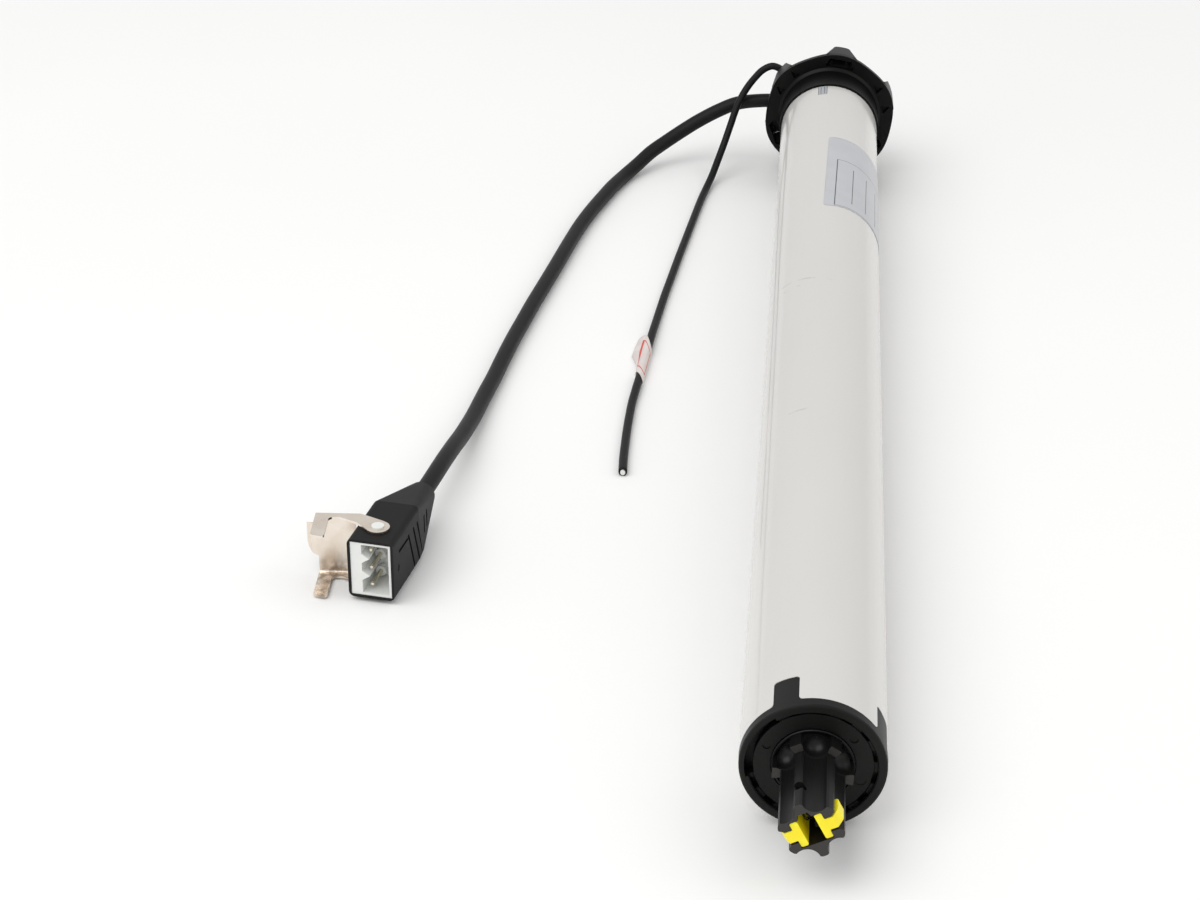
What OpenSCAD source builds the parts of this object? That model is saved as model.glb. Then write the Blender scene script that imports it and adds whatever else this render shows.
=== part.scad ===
// Tubular motor for a roller blind, with its drive shaft, crown ring, cords and plug

/* [Tube] */
// Outside diameter of the motor tube
tube_d = 45; // [45:0.5:48]
// Wall thickness of the motor tube
tube_wall = 1.2; // [0.9:0.1:1.3]
// Length of the motor tube
tube_len = 510.4; // [490:0.1:600]
// Width of each slot at the tube's drive end
slot_w = 8.3; // [6:0.1:10]
// Length of each slot at the tube's drive end
slot_len = 12.2; // [8:0.1:16]
// Direction of the first slot, in degrees from the right, seen from the drive end
slot_turn = 23.5; // [0:0.5:60]
// Width of each notch at the tube's head end
notch_w = 4.2; // [3:0.1:6]
// Length of each notch at the tube's head end
notch_len = 10.4; // [6:0.1:13]
// Direction of the first notch, in degrees from the right
notch_turn = 9.3; // [0:0.1:60]

/* [Label] */
// Length of the rating label along the tube
label_len = 77; // [40:1:100]
// Arc that the label covers, in degrees
label_arc = 114; // [60:1:150]
// Direction of the label's upper edge, in degrees from the right
label_top = 92.5; // [60:0.5:150]
// Distance of the label from the tube's head end
label_gap = 64.4; // [20:0.1:120]
// Thickness of the label
label_t = 0.12; // [0.08:0.01:0.3]

/* [End cap] */
// Diameter of the end cap's flange
cap_rim_d = 44.8; // [44:0.1:44.9]
// Thickness of the end cap's flange
cap_rim_t = 3.8; // [3.2:0.1:5]
// Depth of the end cap's face below its flange
cap_sink = 1.6; // [1:0.1:2.2]
// Length of the end cap's barrel inside the tube
cap_barrel_len = 20; // [18:0.5:26]
// Thickness of the end cap's front wall below the rim
cap_wall = 2; // [1.5:0.1:3]
// Radius of the ring of small slots in the end cap's face
vent_r = 18.8; // [18.2:0.1:19]
// Length of each small slot in the end cap's face
vent_len = 4.2; // [2:0.1:4.8]
// Width of each small slot in the end cap's face
vent_w = 1.4; // [1:0.1:1.6]
// Pitch of the small slots, in degrees
vent_pitch = 24; // [20:1:40]

/* [Drive shaft] */
// Diameter of the drive shaft across its ribs
shaft_d = 19.5; // [19:0.1:20.5]
// Length of the drive shaft in front of the end cap's face
shaft_len = 32.8; // [28:0.1:45]
// Radius of each groove between the ribs
groove_r = 3.9; // [3.6:0.05:4]
// Distance of each groove's centre from the axis
groove_at = 10.6; // [10.5:0.05:11]
// Direction of the first rib, in degrees from the right
rib_turn = 57; // [40:1:75]
// Diameter of the drive shaft's hub in the end cap
hub_d = 25.2; // [24.5:0.1:26]
// Length of the tall rib blocks at the shaft's foot
block_len = 5.9; // [5:0.1:7]
// Width of the tall rib blocks
block_w = 3.6; // [2.5:0.1:4.2]
// Diameter of the journal that turns in the output bush
journal_d = 20; // [18.5:0.1:21]
// Diameter of the cross hole through the shaft
cross_d = 3.6; // [2:0.1:4]

/* [Locking jaws] */
// Length of each locking jaw along the shaft
jaw_len = 12; // [11.5:0.5:15]
// Half width of each jaw's inner plate
jaw_half = 4.5; // [3.8:0.1:4.6]
// Thickness of each jaw's inner plate
jaw_t = 2.4; // [1.8:0.1:2.8]
// Gap between the two jaws
jaw_gap = 5.4; // [4.4:0.1:5.6]
// Width of the web that joins each jaw's plate to its nose
jaw_web = 4; // [3:0.1:4.2]
// Reach of each jaw's nose from the axis
jaw_reach = 9.3; // [9.1:0.1:9.7]
// Length of the fin of each jaw
fin_len = 8.2; // [7:0.1:9]
// Travel of each jaw towards the axis
jaw_travel = 1.2; // [0.6:0.1:1.3]

/* [Gears] */
// Module of all gear teeth
gear_m = 0.65; // [0.62:0.01:0.66]
// Width of the first stage's planet gears
planet_w1 = 8; // [6:0.5:10]
// Width of the second stage's planet gears
planet_w2 = 10; // [8:0.5:14]
// Width of the third stage's planet gears
planet_w3 = 16; // [12:0.5:20]
// Diameter of the planet pins
pin_d = 4; // [3:0.1:5]
// Thickness of the first carrier's disc
carrier_t1 = 4; // [3:0.5:6]
// Thickness of the second carrier's disc
carrier_t2 = 5; // [4:0.5:7]
// Thickness of the output carrier's disc
carrier_t3 = 8; // [6:0.5:10]

/* [Motor] */
// Length of the stator core
stator_len = 80; // [60:1:90]
// Diameter of the rotor core
rotor_d = 24; // [20:0.5:25]
// Diameter of the rotor shaft
spindle_d = 8; // [7:0.5:9]
// Outside diameter of the ball bearings
bearing_d = 18; // [16:0.5:20]
// Width of the ball bearings
bearing_w = 6; // [5:0.5:8]
// Diameter of the brake disc
brake_d = 28; // [24:1:32]
// Length of the brake housing
brake_len = 22; // [18:1:30]
// Diameter of the motor capacitor
capacitor_d = 33; // [28:0.5:35]
// Length of the motor capacitor
capacitor_len = 65; // [45:1:75]
// Width of the circuit board
board_w = 35; // [28:0.5:36]
// Thickness of the circuit board
board_t = 1.6; // [1:0.1:2]

/* [Head and crown] */
// Diameter of the head's rear flange
head_d = 44; // [43:0.5:45]
// Thickness of the head's rear cover
cover_t = 3; // [2:0.1:4]
// Diameter of the head's rear cover
cover_d = 41; // [40:0.5:43]
// Diameter of the neck that the crown turns on
neck_d = 42; // [41.6:0.1:42.4]
// Distance of the crown's lug ends from the mounting face
crown_at = 13.3; // [13:0.1:15]
// Length of the crown, from its lug ends to the end of its collar
crown_len = 30.9; // [28:0.1:36]
// Outside diameter of the crown's collar
collar_d = 46.8; // [46:0.1:48]
// Distance from the lug ends to the front of the crown's flange
crown_flange_at = 12.3; // [10:0.1:14]
// Thickness of the crown's flange
crown_flange_t = 2.5; // [2:0.1:3.5]
// Diameter of the crown across its lugs
crown_d = 62.2; // [60:0.1:64]
// Diameter of the crown's flange between its lugs
crown_flat_d = 60.2; // [59:0.1:60.6]
// Direction of the first lug, in degrees from the right
lug_turn = 21; // [0:1:59]
// Half width of each lug at the flange
lug_half_front = 7.4; // [6.6:0.1:8]
// Half width of each lug at its end
lug_half_end = 4.1; // [3.2:0.1:5]
// Wall of each lug
lug_wall = 0.8; // [0.7:0.1:1.1]
// Circle of the mounting holes in the head's face
mount_pcd = 34; // [32:0.5:35]
// Diameter of the mounting holes in the head's face
mount_hole_d = 4.2; // [3.2:0.1:4.8]
// Depth of the mounting holes
mount_hole_len = 9; // [6:0.5:11]

/* [Cords] */
// Diameter of the mains cord
mains_d = 6.6; // [5:0.1:7]
// Diameter of the antenna cord
antenna_d = 3.4; // [2.6:0.1:3.6]
// Diameter of the antenna's white core
core_d = 1.9; // [1.2:0.1:2.2]
// Distance of the mains cord's outlet from the mounting face
mains_at = 7.5; // [7.2:0.1:8]
// Distance of the antenna's outlet from the mounting face
antenna_at = 8; // [6.5:0.1:9]
// Direction of the antenna's outlet, in degrees from the right
antenna_turn = 145; // [140:1:150]

/* [Plug] */
// Width of the plug
plug_w = 16.8; // [15:0.1:20]
// Height of the plug
plug_h = 22.9; // [21:0.1:26]
// Length of the plug's straight part along its upper edge
plug_box_len = 28; // [26:0.5:34]
// Length of the whole plug
plug_len = 57; // [52:0.5:70]
// Diameter of the plug's end where the cord enters
plug_neck_d = 9.8; // [9:0.1:12]
// Wall of the plug's black shell
plug_wall = 1; // [0.8:0.1:1.4]
// Depth of the plug's contact chamber
plug_depth = 14; // [10:0.5:18]
// Diameter of the contact pins
contact_d = 1.6; // [1:0.1:2]
// Pitch of the contact pins
contact_pitch = 6.8; // [6:0.1:7.2]
// Diameter of the pegs that the locking clip turns on
peg_d = 4.4; // [4:0.1:5.2]
// Distance of the pegs from the plug's front
peg_at = 9; // [7:0.5:11]
// Sheet thickness of the locking clip
clip_t = 0.8; // [0.5:0.1:1]
// Reach of the locking clip from its pegs
clip_reach = 22.9; // [21:0.1:26]
// Distance of the locking clip's plate from its pegs
clip_side = 9.4; // [9.2:0.1:11]
// Angle of the open clip behind the plug's left side, in degrees
clip_open = 12.4; // [5:0.1:20]

/* [Hidden] */
$fn = 96;

// Colours of the materials
black_plastic = [0.09, 0.09, 0.09];
grey_paint = [0.84, 0.83, 0.81];
label_silver = [0.76, 0.77, 0.79];
yellow_plastic = [0.97, 0.80, 0.05];
white_plastic = [0.93, 0.93, 0.91];
steel = [0.72, 0.71, 0.69];
bronze = [0.72, 0.52, 0.28];
copper = [0.72, 0.42, 0.22];
zinc = [0.58, 0.58, 0.57];
board_green = [0.10, 0.35, 0.18];
nickel_sheet = [0.80, 0.76, 0.70];

// Clearances
run_fit = 0.05;
seat_fit = 0.02;
slip_fit = 0.1;
part_gap = 0.8;
end_gap = 0.3;

// Stations along the axis, counted from the mounting face towards the drive end
tube_r = tube_d / 2;
bore_r = tube_r - tube_wall;
inner_r = bore_r - slip_fit;
slot_flare = 1.5;
tab_sink = 0.17;
notch_round = 0.9;
notch_fit = 0.25;
crown_end = crown_at + crown_len;
tube_at = crown_end + 0.4;
drive_end = tube_at + tube_len;
cap_face = drive_end + cap_rim_t - cap_sink;
cap_in = drive_end - cap_barrel_len;
shaft_tip = cap_face + shaft_len;
gear_end = cap_in - end_gap;
carrier3_hi = gear_end - 10;
carrier3_lo = carrier3_hi - carrier_t3;
planet3_hi = carrier3_lo - part_gap;
planet3_lo = planet3_hi - planet_w3;
carrier2_hi = planet3_lo - part_gap;
carrier2_lo = carrier2_hi - carrier_t2;
planet2_hi = carrier2_lo - part_gap;
planet2_lo = planet2_hi - planet_w2;
carrier1_hi = planet2_lo - part_gap;
carrier1_lo = carrier1_hi - carrier_t1;
planet1_hi = carrier1_lo - part_gap;
planet1_lo = planet1_hi - planet_w1;
shield_hi = planet1_lo - part_gap;
shield_t = 7;
shield_lo = shield_hi - shield_t;
boss_len = bearing_w + 2;
coil_len = boss_len + 1;
stator_hi = shield_lo - coil_len - end_gap;
stator_lo = stator_hi - stator_len;
rear_hi = stator_lo - coil_len - end_gap;
rear_t = 6;
rear_lo = rear_hi - rear_t;
disc_t = 4;
disc_hi = rear_lo - end_gap;
disc_lo = disc_hi - disc_t;
plate_hi = disc_lo - end_gap;
plate_t = 4;
plate_lo = plate_hi - plate_t;
spring_t = 2;
brake_hi = plate_lo - spring_t;
brake_lo = brake_hi - brake_len;
carrier_hi = brake_lo - end_gap;
spigot_len = 46;
spigot_end = tube_at + spigot_len;
carrier_lo = tube_at + 26;
spindle_r = spindle_d / 2;
spindle_lo = brake_lo + 4;
spindle_end = planet1_hi + part_gap / 2;
pinion_bore_r = 2;

// The head, its neck and the spigot inside the tube
neck_r = neck_d / 2;
head_flange_end = crown_at - end_gap;
spigot_r = inner_r - 2.7;
chamber_r = 12;
mount_r = mount_pcd / 2;
mount_turn = 30;
screw_turns = [75, 255, 345];
screw_r = 1.5;
screw_head_r = 2.7;
screw_head_t = 1.7;
screw_len = 10;

// The crown
crown_r = crown_d / 2;
collar_r = collar_d / 2;
lug_count = 6;
flat_r = crown_flat_d / 2;
function crown_edge(a) = (crown_r + flat_r + (crown_r - flat_r) * cos(lug_count * (a - lug_turn))) / 2;
window_lo = 24.7;
window_hi = 28.8;
window_half_lo = 7.35;
window_half_hi = 5.1;
window_bar_half = 3.4;
lug_round = 2.2;

// Gear teeth: all three stages share one ring gear
sun_n = 12;
planet_n = 21;
ring_n = sun_n + 2 * planet_n;
planet_count = 3;
pressure = 25;
tip_h = 0.9 * gear_m;
root_h = 1.2 * gear_m;
backlash = 0.12;
planet_at = gear_m * (sun_n + planet_n) / 2;
ring_root_r = gear_m * ring_n / 2 + root_h;
ring_tip_r = gear_m * ring_n / 2 - tip_h;
disc_r = ring_tip_r - part_gap;
flank_steps = 4;
function inv(a) = tan(a) * 180 / PI - a;
function tooth_half(r, n, thin) =
    let (pitch_r = gear_m * n / 2, base_r = pitch_r * cos(pressure), at = max(r, base_r))
    90 / n - thin / pitch_r / 2 * 180 / PI + inv(pressure) - inv(acos(base_r / at));
function polar(r, a) = [r * cos(a), r * sin(a)];
function tooth(n, lo, hi, thin, turn) = concat(
    [for (i = [0:flank_steps]) let (r = lo + (hi - lo) * i / flank_steps)
        polar(r, turn - tooth_half(r, n, thin))],
    [for (i = [flank_steps:-1:0]) let (r = lo + (hi - lo) * i / flank_steps)
        polar(r, turn + tooth_half(r, n, thin))]);
function gear_points(n, lo, hi, thin) = [for (k = [0:n - 1]) each tooth(n, lo, hi, thin, 360 * k / n)];

// The drive shaft and its jaws, which slide along the line at jaw_turn
shaft_r = shaft_d / 2;
hub_r = hub_d / 2;
journal_r = journal_d / 2;
rib_count = 6;
jaw_turn = rib_turn - 30;
hub_hi = cap_face + 0.3;
block_end = hub_hi + block_len;
block_r = hub_r - 0.4;
foot_r = hub_r - 1.4;
run_out = hub_hi + groove_r + 0.4;
hex_af = 14;
hex_r = hex_af / 2 / cos(30);
boss3_r = journal_r - 0.5;
journal_lo = cap_in + 5;
jaw_lo = jaw_gap / 2;
jaw_hi = jaw_lo + jaw_t;
slot_half = jaw_web / 2 + 0.5;
jaw_fit = 0.2;
jaw_ramp = 3;
jaw_lead = 1.6;
jaw_round = 0.4;
jaw_inset = 0.3;
rib_cut = 0.95;
cross_back = 9.7;
pocket_len = 6;
pocket_top = jaw_half + 1.9;
well_len = jaw_len + 10;
spring_wire = 0.5;
spring_r = 1.6;
spring_turns = 4;

// The surface under the part touches the tube's drive end and the crown
surface_slope = (crown_r - tube_r) / (drive_end - crown_at);
surface_tilt = atan(surface_slope);
function surface_z(y) = -tube_r - surface_slope * (y + drive_end);

// Route of the mains cord, from the head to the plug: free points, then points on the surface
mains_r = mains_d / 2;
mains_free = [[-18, -mains_at, 0], [-33, -mains_at, 0], [-46, -8, -2], [-54, -9, -5.4], [-62.7, -11,
    -9.8],
    [-72, -14, -15.2], [-79.2, -18, -19.2], [-85.5, -23, -22.4], [-91, -30.5, -25.4]];
mains_laid = [[-97, -42], [-101.5, -56], [-105.5, -72], [-109.2, -88], [-112.5, -105], [-115.2, -123],
    [-117.6, -141],
    [-120, -159], [-122.5, -177], [-125, -195], [-127.2, -213], [-129.4, -231], [-131.2, -249],
        [-132.8, -267]];
mains_rise = [[-134.2, -281, 0.4], [-135.2, -293, 0.9], [-136, -305, 1.8], [-136.9, -317, 3.2],
    [-137.8, -329, 5],
    [-138.9, -341, 7], [-140.1, -353, 8.6]];
plug_turn = -9.7;
plug_x = -154.1;
plug_y = -440.4;
plug_lift = 1.6;
plug_mid = plug_h / 2;
neck_bore_len = 6;
function plug_point(x, y, z) =
    let (px = x * cos(plug_turn) - y * sin(plug_turn), py = x * sin(plug_turn) + y * cos(plug_turn))
    [plug_x + px, plug_y + py * cos(surface_tilt) + z * sin(surface_tilt),
     surface_z(plug_y) - py * sin(surface_tilt) + z * cos(surface_tilt)];
function on_surface(p, r) = [p[0], p[1], surface_z(p[1]) + r + (len(p) > 2 ? p[2] : 0)];
mains_route = concat(mains_free, [for (p = mains_laid) on_surface(p, mains_r)],
    [for (p = mains_rise) on_surface(p, mains_r)],
    [plug_point(0, plug_len + 8, plug_lift + plug_mid), plug_point(0, plug_len, plug_lift + plug_mid),
     plug_point(0, plug_len - neck_bore_len, plug_lift + plug_mid)]);

// Route of the antenna cord, from the head to its cut end
antenna_r = antenna_d / 2;
function antenna_out(r) = [r * cos(antenna_turn), -antenna_at, r * sin(antenna_turn)];
antenna_free = [[-28.6, -8, 18], [-32.6, -8.4, 16.2], [-36.6, -9.4, 12.2], [-40.6, -11.4, 7], [-44.2,
    -15, 0.6],
    [-47.4, -20.5, -8.2], [-50, -26, -15.4], [-52.6, -32.5, -21.6], [-55, -41, -26.4]];
antenna_laid = [[-57.2, -52, 0.4], [-58.8, -64], [-60.1, -77], [-61.4, -91], [-62.8, -106], [-64.1,
    -120], [-65.4, -134],
    [-66.6, -148], [-67.8, -162], [-69, -176], [-70, -190], [-70.9, -204, 0.2], [-71.7, -217, 0.5],
        [-72.4, -230, 0.5],
    [-73.1, -243, 0.5], [-73.8, -256, 0.5], [-74.6, -269, 0.3], [-75.3, -281], [-75.5, -293], [-75.5,
        -305], [-75.3, -317],
    [-75, -329], [-74.4, -340]];
antenna_route = concat([antenna_out(16), antenna_out(27)], antenna_free,
    [for (p = antenna_laid) on_surface(p, antenna_r)]);
flag_from = on_surface([-71.81, -219, 0.5], antenna_r);
flag_to = on_surface([-73.75, -255, 0.5], antenna_r);
flag_t = 0.3;
flag_flap = 4.6;

// The plug's inner measures
insert_w = plug_w - 2 * plug_wall - 2 * seat_fit;
insert_h = plug_h - 2 * plug_wall - 2 * seat_fit;
insert_len = plug_depth + 6;
insert_rim = 0.9;
chamber_left = -3.3;
tooth_reach = 2.8;
tooth_half_h = 1.8;
contact_x = -0.4;
boss_r = 1.9;
tooth_rise = 0.7;
contact_tip = 2.2;
peg_r = peg_d / 2;
clip_gap = 0.2;
clip_hole_r = peg_r + run_fit;
clip_pad_r = 4.2;
clip_root = 9;
hook_reach = 7.9;
hook_w = 5;
tab_r = 4.4;
tab_len = 13;
bend_in = 0.8;
bend_out = bend_in + clip_t;
groove_depth = 0.6;
groove_w = 1.2;
groove_slant = 20;
plug_round = 2;

// Turns shapes built along +Z so that their axis runs towards the drive end
module along_axis() {
    rotate([90, 0, 0]) children();
}

// Carries a flat outline (across, along the axis) outwards from radius r0 to r1 at an angle
module outwards(turn, r0, r1) {
    rotate([0, 0, turn]) translate([r0, 0, 0]) rotate([90, 0, 90]) linear_extrude(r1 - r0) children();
}

// A ring between two radii and two stations
module ring(r0, r1, lo, hi) {
    translate([0, 0, lo]) difference() {
        cylinder(r = r1, h = hi - lo);
        translate([0, 0, -1]) cylinder(r = r0, h = hi - lo + 2);
    }
}

// A rectangle with round corners, centred on its lower edge's middle
function corner(x, y, r, from) = [for (a = [0:15:90]) [x + r * cos(from + a), y + r * sin(from + a)]];
function round_rect(w, h, r) = concat(corner(w / 2 - r, r, r, 270), corner(w / 2 - r, h - r, r, 0),
    corner(-w / 2 + r, h - r, r, 90), corner(-w / 2 + r, r, r, 180));

// A tongue with two round corners at its far end
function tongue(w, lo, hi, r) = concat([[w / 2, hi], [-w / 2, hi]], [for (p = corner(-w / 2 + r,
    lo + r, r, 180)) p],
    [for (p = corner(w / 2 - r, lo + r, r, 270)) p]);

// A tongue that widens with a round of radius f where it leaves its root
function flared(w, lo, hi, r, f) = concat(
    [[w / 2 + f - f * cos(80), hi + 1], [f * cos(80) - w / 2 - f, hi + 1]],
    [for (a = [80:-20:0]) [f * cos(a) - w / 2 - f, hi + f * (sin(a) - 0.93)]],
    corner(-w / 2 + r, lo + r, r, 180), corner(w / 2 - r, lo + r, r, 270),
    [for (a = [180:-20:100]) [w / 2 + f + f * cos(a), hi + f * (sin(a) - 0.93)]]);

// A tube swept along a route, with a square cut at each end
function unit(v) = v / norm(v);
function heading(route, i) = unit(route[min(i + 1, len(route) - 1)] - route[max(i - 1, 0)]);
function side(d) = unit(cross(abs(d[2]) > 0.8 ? [1, 0, 0] : [0, 0, 1], d));
module swept_tube(route, r, sides) {
    n = len(route);
    points = [for (i = [0:n - 1]) let (d = heading(route, i), u = side(d), v = cross(d, u))
        for (k = [0:sides - 1]) route[i] + r * (u * cos(360 * k / sides) + v * sin(360 * k / sides))];
    walls = [for (i = [0:n - 2], k = [0:sides - 1]) let (a = i * sides + k,
        b = i * sides + (k + 1) % sides)
        each [[a, a + sides, b], [b, a + sides, b + sides]]];
    ends = [[for (k = [0:sides - 1]) k], [for (k = [sides - 1:-1:0]) (n - 1) * sides + k]];
    polyhedron(points, concat(walls, ends));
}

// Stands a shape on the surface, turned as the plug lies there
module at_plug() {
    translate([plug_x, plug_y, surface_z(plug_y)]) rotate([-surface_tilt, 0, 0])
        rotate([0, 0, plug_turn]) translate([0, 0, plug_lift]) children();
}

// Tube and label

module tube() {
    color(grey_paint) along_axis() difference() {
        ring(bore_r, tube_r, tube_at, drive_end);
        for (k = [0:3]) {
            outwards(slot_turn + 90 * k, bore_r - 2, tube_r + 2)
                polygon(flared(slot_w, drive_end - slot_len, drive_end, 1.2, slot_flare));
            outwards(notch_turn + 90 * k, bore_r - 2, tube_r + 2)
                mirror([0, 1]) polygon(tongue(notch_w, -tube_at - notch_len, 1 - tube_at, notch_round));
        }
    }
}

module rating_label() {
    color(label_silver) along_axis() translate([0, 0, tube_at + label_gap])
        rotate([0, 0, label_top - label_arc])
        rotate_extrude(angle = label_arc) translate([tube_r + seat_fit, 0]) square([label_t, label_len]);
}

// Drive end

module end_cap() {
    rim_r = cap_rim_d / 2;
    wall_r = vent_r + vent_w / 2;
    face = cap_face - drive_end;
    color(black_plastic) along_axis() difference() {
        union() {
            translate([0, 0, cap_in]) cylinder(r = inner_r, h = cap_barrel_len);
            translate([0, 0, drive_end]) rotate_extrude() polygon([[0, -1], [inner_r, -1], [inner_r, 0],
                [rim_r, 0], [rim_r, cap_rim_t - 0.7], [rim_r - 0.2, cap_rim_t - 0.2], [rim_r - 0.7,
                    cap_rim_t],
                [wall_r + 0.3, cap_rim_t], [wall_r, cap_rim_t - 0.3], [wall_r, face], [0, face]]);
            for (k = [0:3]) intersection() {
                outwards(slot_turn + 90 * k, inner_r - 1, tube_r + 1)
                    polygon(flared(slot_w - 2 * slip_fit, drive_end - slot_len + slip_fit,
                        drive_end + slip_fit, 1.2, slot_flare));
                translate([0, 0, cap_in]) cylinder(r = tube_r - tab_sink, h = cap_barrel_len + 3);
            }
        }
        translate([0, 0, drive_end - cap_wall - 1]) cylinder(r = hub_r + run_fit, h = 20);
        translate([0, 0, cap_face - 0.8]) cylinder(r = hub_r + 0.4, h = 20);
        ring(hub_r + 2.5, inner_r - 2.5, cap_in - 1, drive_end - cap_wall);
        translate([0, 0, cap_in - 1]) cylinder(r = hub_r + 0.9, h = cap_barrel_len - cap_wall + 1);
        translate([0, 0, cap_in - 1]) cylinder(r = inner_r - 2.5, h = 7);
        ring(vent_r - vent_w / 2 + 0.1, vent_r - vent_w / 2 + 0.45, cap_face - 0.5, cap_face + 1);
        for (k = [0:floor(360 / vent_pitch) - 1]) let (turn = vent_pitch * (k + 0.5))
            if (turn < 122 || turn > 196) outwards(turn, vent_r - vent_w / 2, wall_r + 0.5)
                translate([-vent_len / 2, cap_face - 2.5]) square([vent_len, 3.4]);
        rotate([0, 0, 125]) rotate_extrude(angle = 68) translate([vent_r - 0.8, cap_face - 3.4])
            square([2.7, 10]);
        for (turn = [39, 157]) rotate([0, 0, turn]) translate([hub_r + 2.7, 0, cap_face - 0.4])
            cylinder(r = 1.3, h = 2);
        rotate([0, 0, 341]) translate([hub_r + 2.5, 0, cap_face - 0.2]) cylinder(r = 1.9, h = 2);
    }
}

module output_bush() {
    color(bronze) along_axis() ring(journal_r + run_fit, hub_r + 0.9 - seat_fit, cap_in + 7.2,
        drive_end - cap_wall - slip_fit);
}

module drive_shaft() {
    hub_lo = drive_end - cap_wall;
    color(black_plastic) along_axis() difference() {
        union() {
            translate([0, 0, carrier3_lo + 1]) cylinder(r = hex_r, h = journal_lo - carrier3_lo, $fn = 6);
            translate([0, 0, journal_lo]) cylinder(r = journal_r, h = hub_lo + 1 - journal_lo);
            rotate_extrude() polygon([[0, hub_lo], [hub_r, hub_lo], [hub_r, hub_hi - 0.2],
                [hub_r - 0.2, hub_hi],
                [hub_r - 0.6, hub_hi], [hub_r - 0.6, hub_hi - 1.5], [foot_r, hub_hi - 1.5], [foot_r,
                    block_end],
                [shaft_r, block_end], [shaft_r, shaft_tip], [0, shaft_tip]]);
            for (k = [0:rib_count - 1]) outwards(rib_turn + 60 * k, shaft_r - 2.5, block_r)
                translate([-block_w / 2, hub_hi - 1.6]) square([block_w, block_len + 1.6]);
        }
        for (k = [0:rib_count - 1]) rotate([0, 0, rib_turn + 30 + 60 * k])
            translate([groove_at, 0, run_out]) {
            cylinder(r = groove_r, h = shaft_tip);
            sphere(r = groove_r - 0.03);
        }
        rotate([0, 0, jaw_turn]) {
            translate([-jaw_hi - run_fit, -jaw_half - jaw_fit, shaft_tip - well_len])
                cube([2 * (jaw_hi + run_fit), 2 * (jaw_half + jaw_fit), well_len + 1]);
            translate([-shaft_r, -slot_half, shaft_tip - fin_len - 0.6])
                cube([shaft_d, 2 * slot_half, fin_len + 2]);
            translate([0, 0, shaft_tip - pocket_len]) linear_extrude(pocket_len + 1.2)
                polygon([[-2.4, jaw_half - 0.5], [2.4, jaw_half - 0.5], [1.6, pocket_top],
                    [-1.6, pocket_top]]);
        }
        for (k = [0:rib_count - 1]) rotate([0, 0, rib_turn + 30 + 60 * k])
            translate([shaft_r - rib_cut, -shaft_r / 2, block_end + 0.3])
                cube([rib_cut + 1, shaft_r, shaft_len]);
        rotate([0, 0, rib_turn + 60]) translate([0, 0, shaft_tip - cross_back]) rotate([0, 90, 0])
            translate([0, 0, -shaft_r - 1]) cylinder(d = cross_d, h = shaft_d + 2);
    }
}

// One locking jaw: an inner plate, a web through the shaft's wall and a nose with a ramp
module jaw(turn) {
    web = jaw_web / 2;
    plan = [[jaw_lo, jaw_round - jaw_half], [jaw_lo + jaw_round, -jaw_half], [jaw_hi - jaw_round,
        -jaw_half],
        [jaw_hi, jaw_round - jaw_half], [jaw_hi, -web], [jaw_reach + 1, -web], [jaw_reach + 1, web],
            [jaw_hi, web],
        [jaw_hi, jaw_half - jaw_round], [jaw_hi - jaw_round, jaw_half], [jaw_lo + jaw_round, jaw_half],
        [jaw_lo, jaw_half - jaw_round]];
    profile = [[0, -jaw_len], [jaw_hi - 0.2, -jaw_len], [jaw_hi - 0.2, -fin_len],
        [jaw_reach - jaw_round, -fin_len], [jaw_reach, jaw_round - fin_len],
        [jaw_reach, -jaw_ramp - jaw_inset], [jaw_reach - jaw_lead, -jaw_inset], [0, -jaw_inset]];
    color(yellow_plastic) along_axis() rotate([0, 0, jaw_turn + turn]) translate([0, 0, shaft_tip])
        intersection() {
        translate([0, 0, -jaw_len - 1]) linear_extrude(jaw_len + 2) polygon(plan);
        translate([0, jaw_half + 1, 0]) rotate([90, 0, 0]) linear_extrude(2 * jaw_half + 2)
            polygon(profile);
    }
}

module jaw_right() {
    jaw(0);
}

module jaw_left() {
    jaw(180);
}

// The coil spring that pushes the two jaws apart
module jaw_spring() {
    reach = jaw_lo - spring_wire / 2 - seat_fit;
    steps = 8 * spring_turns;
    route = [for (i = [0:steps]) let (a = 45 * i)
        [-reach + 2 * reach * i / steps, spring_r * cos(a), spring_r * sin(a)]];
    color(steel) along_axis() translate([0, 0, shaft_tip - jaw_len / 2 - 3]) rotate([0, 0, jaw_turn])
        swept_tube(route, spring_wire / 2, 6);
}

// Gearbox

module gear(n, lo, hi) {
    pitch_r = gear_m * n / 2;
    translate([0, 0, lo]) linear_extrude(hi - lo) polygon(gear_points(n, pitch_r - root_h,
        pitch_r + tip_h, backlash));
}

module gear_housing() {
    color(zinc) along_axis() difference() {
        translate([0, 0, shield_hi]) cylinder(r = inner_r, h = gear_end - shield_hi);
        translate([0, 0, shield_hi - 1]) linear_extrude(carrier3_lo - shield_hi + 2)
            polygon(gear_points(ring_n, ring_tip_r, ring_root_r, -backlash));
        translate([0, 0, carrier3_lo]) cylinder(r = ring_root_r + 0.5, h = gear_end);
    }
}

// The places of one stage's planets
module at_planet(k) {
    rotate([0, 0, 360 * k / planet_count]) translate([planet_at, 0, 0]) children();
}

module carrier_disc(lo, hi) {
    difference() {
        translate([0, 0, lo]) cylinder(r = disc_r, h = hi - lo);
        for (k = [0:planet_count - 1]) at_planet(k) translate([0, 0, lo - 1])
            cylinder(r = pin_d / 2 + seat_fit, h = hi - lo + 2);
    }
}

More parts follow.
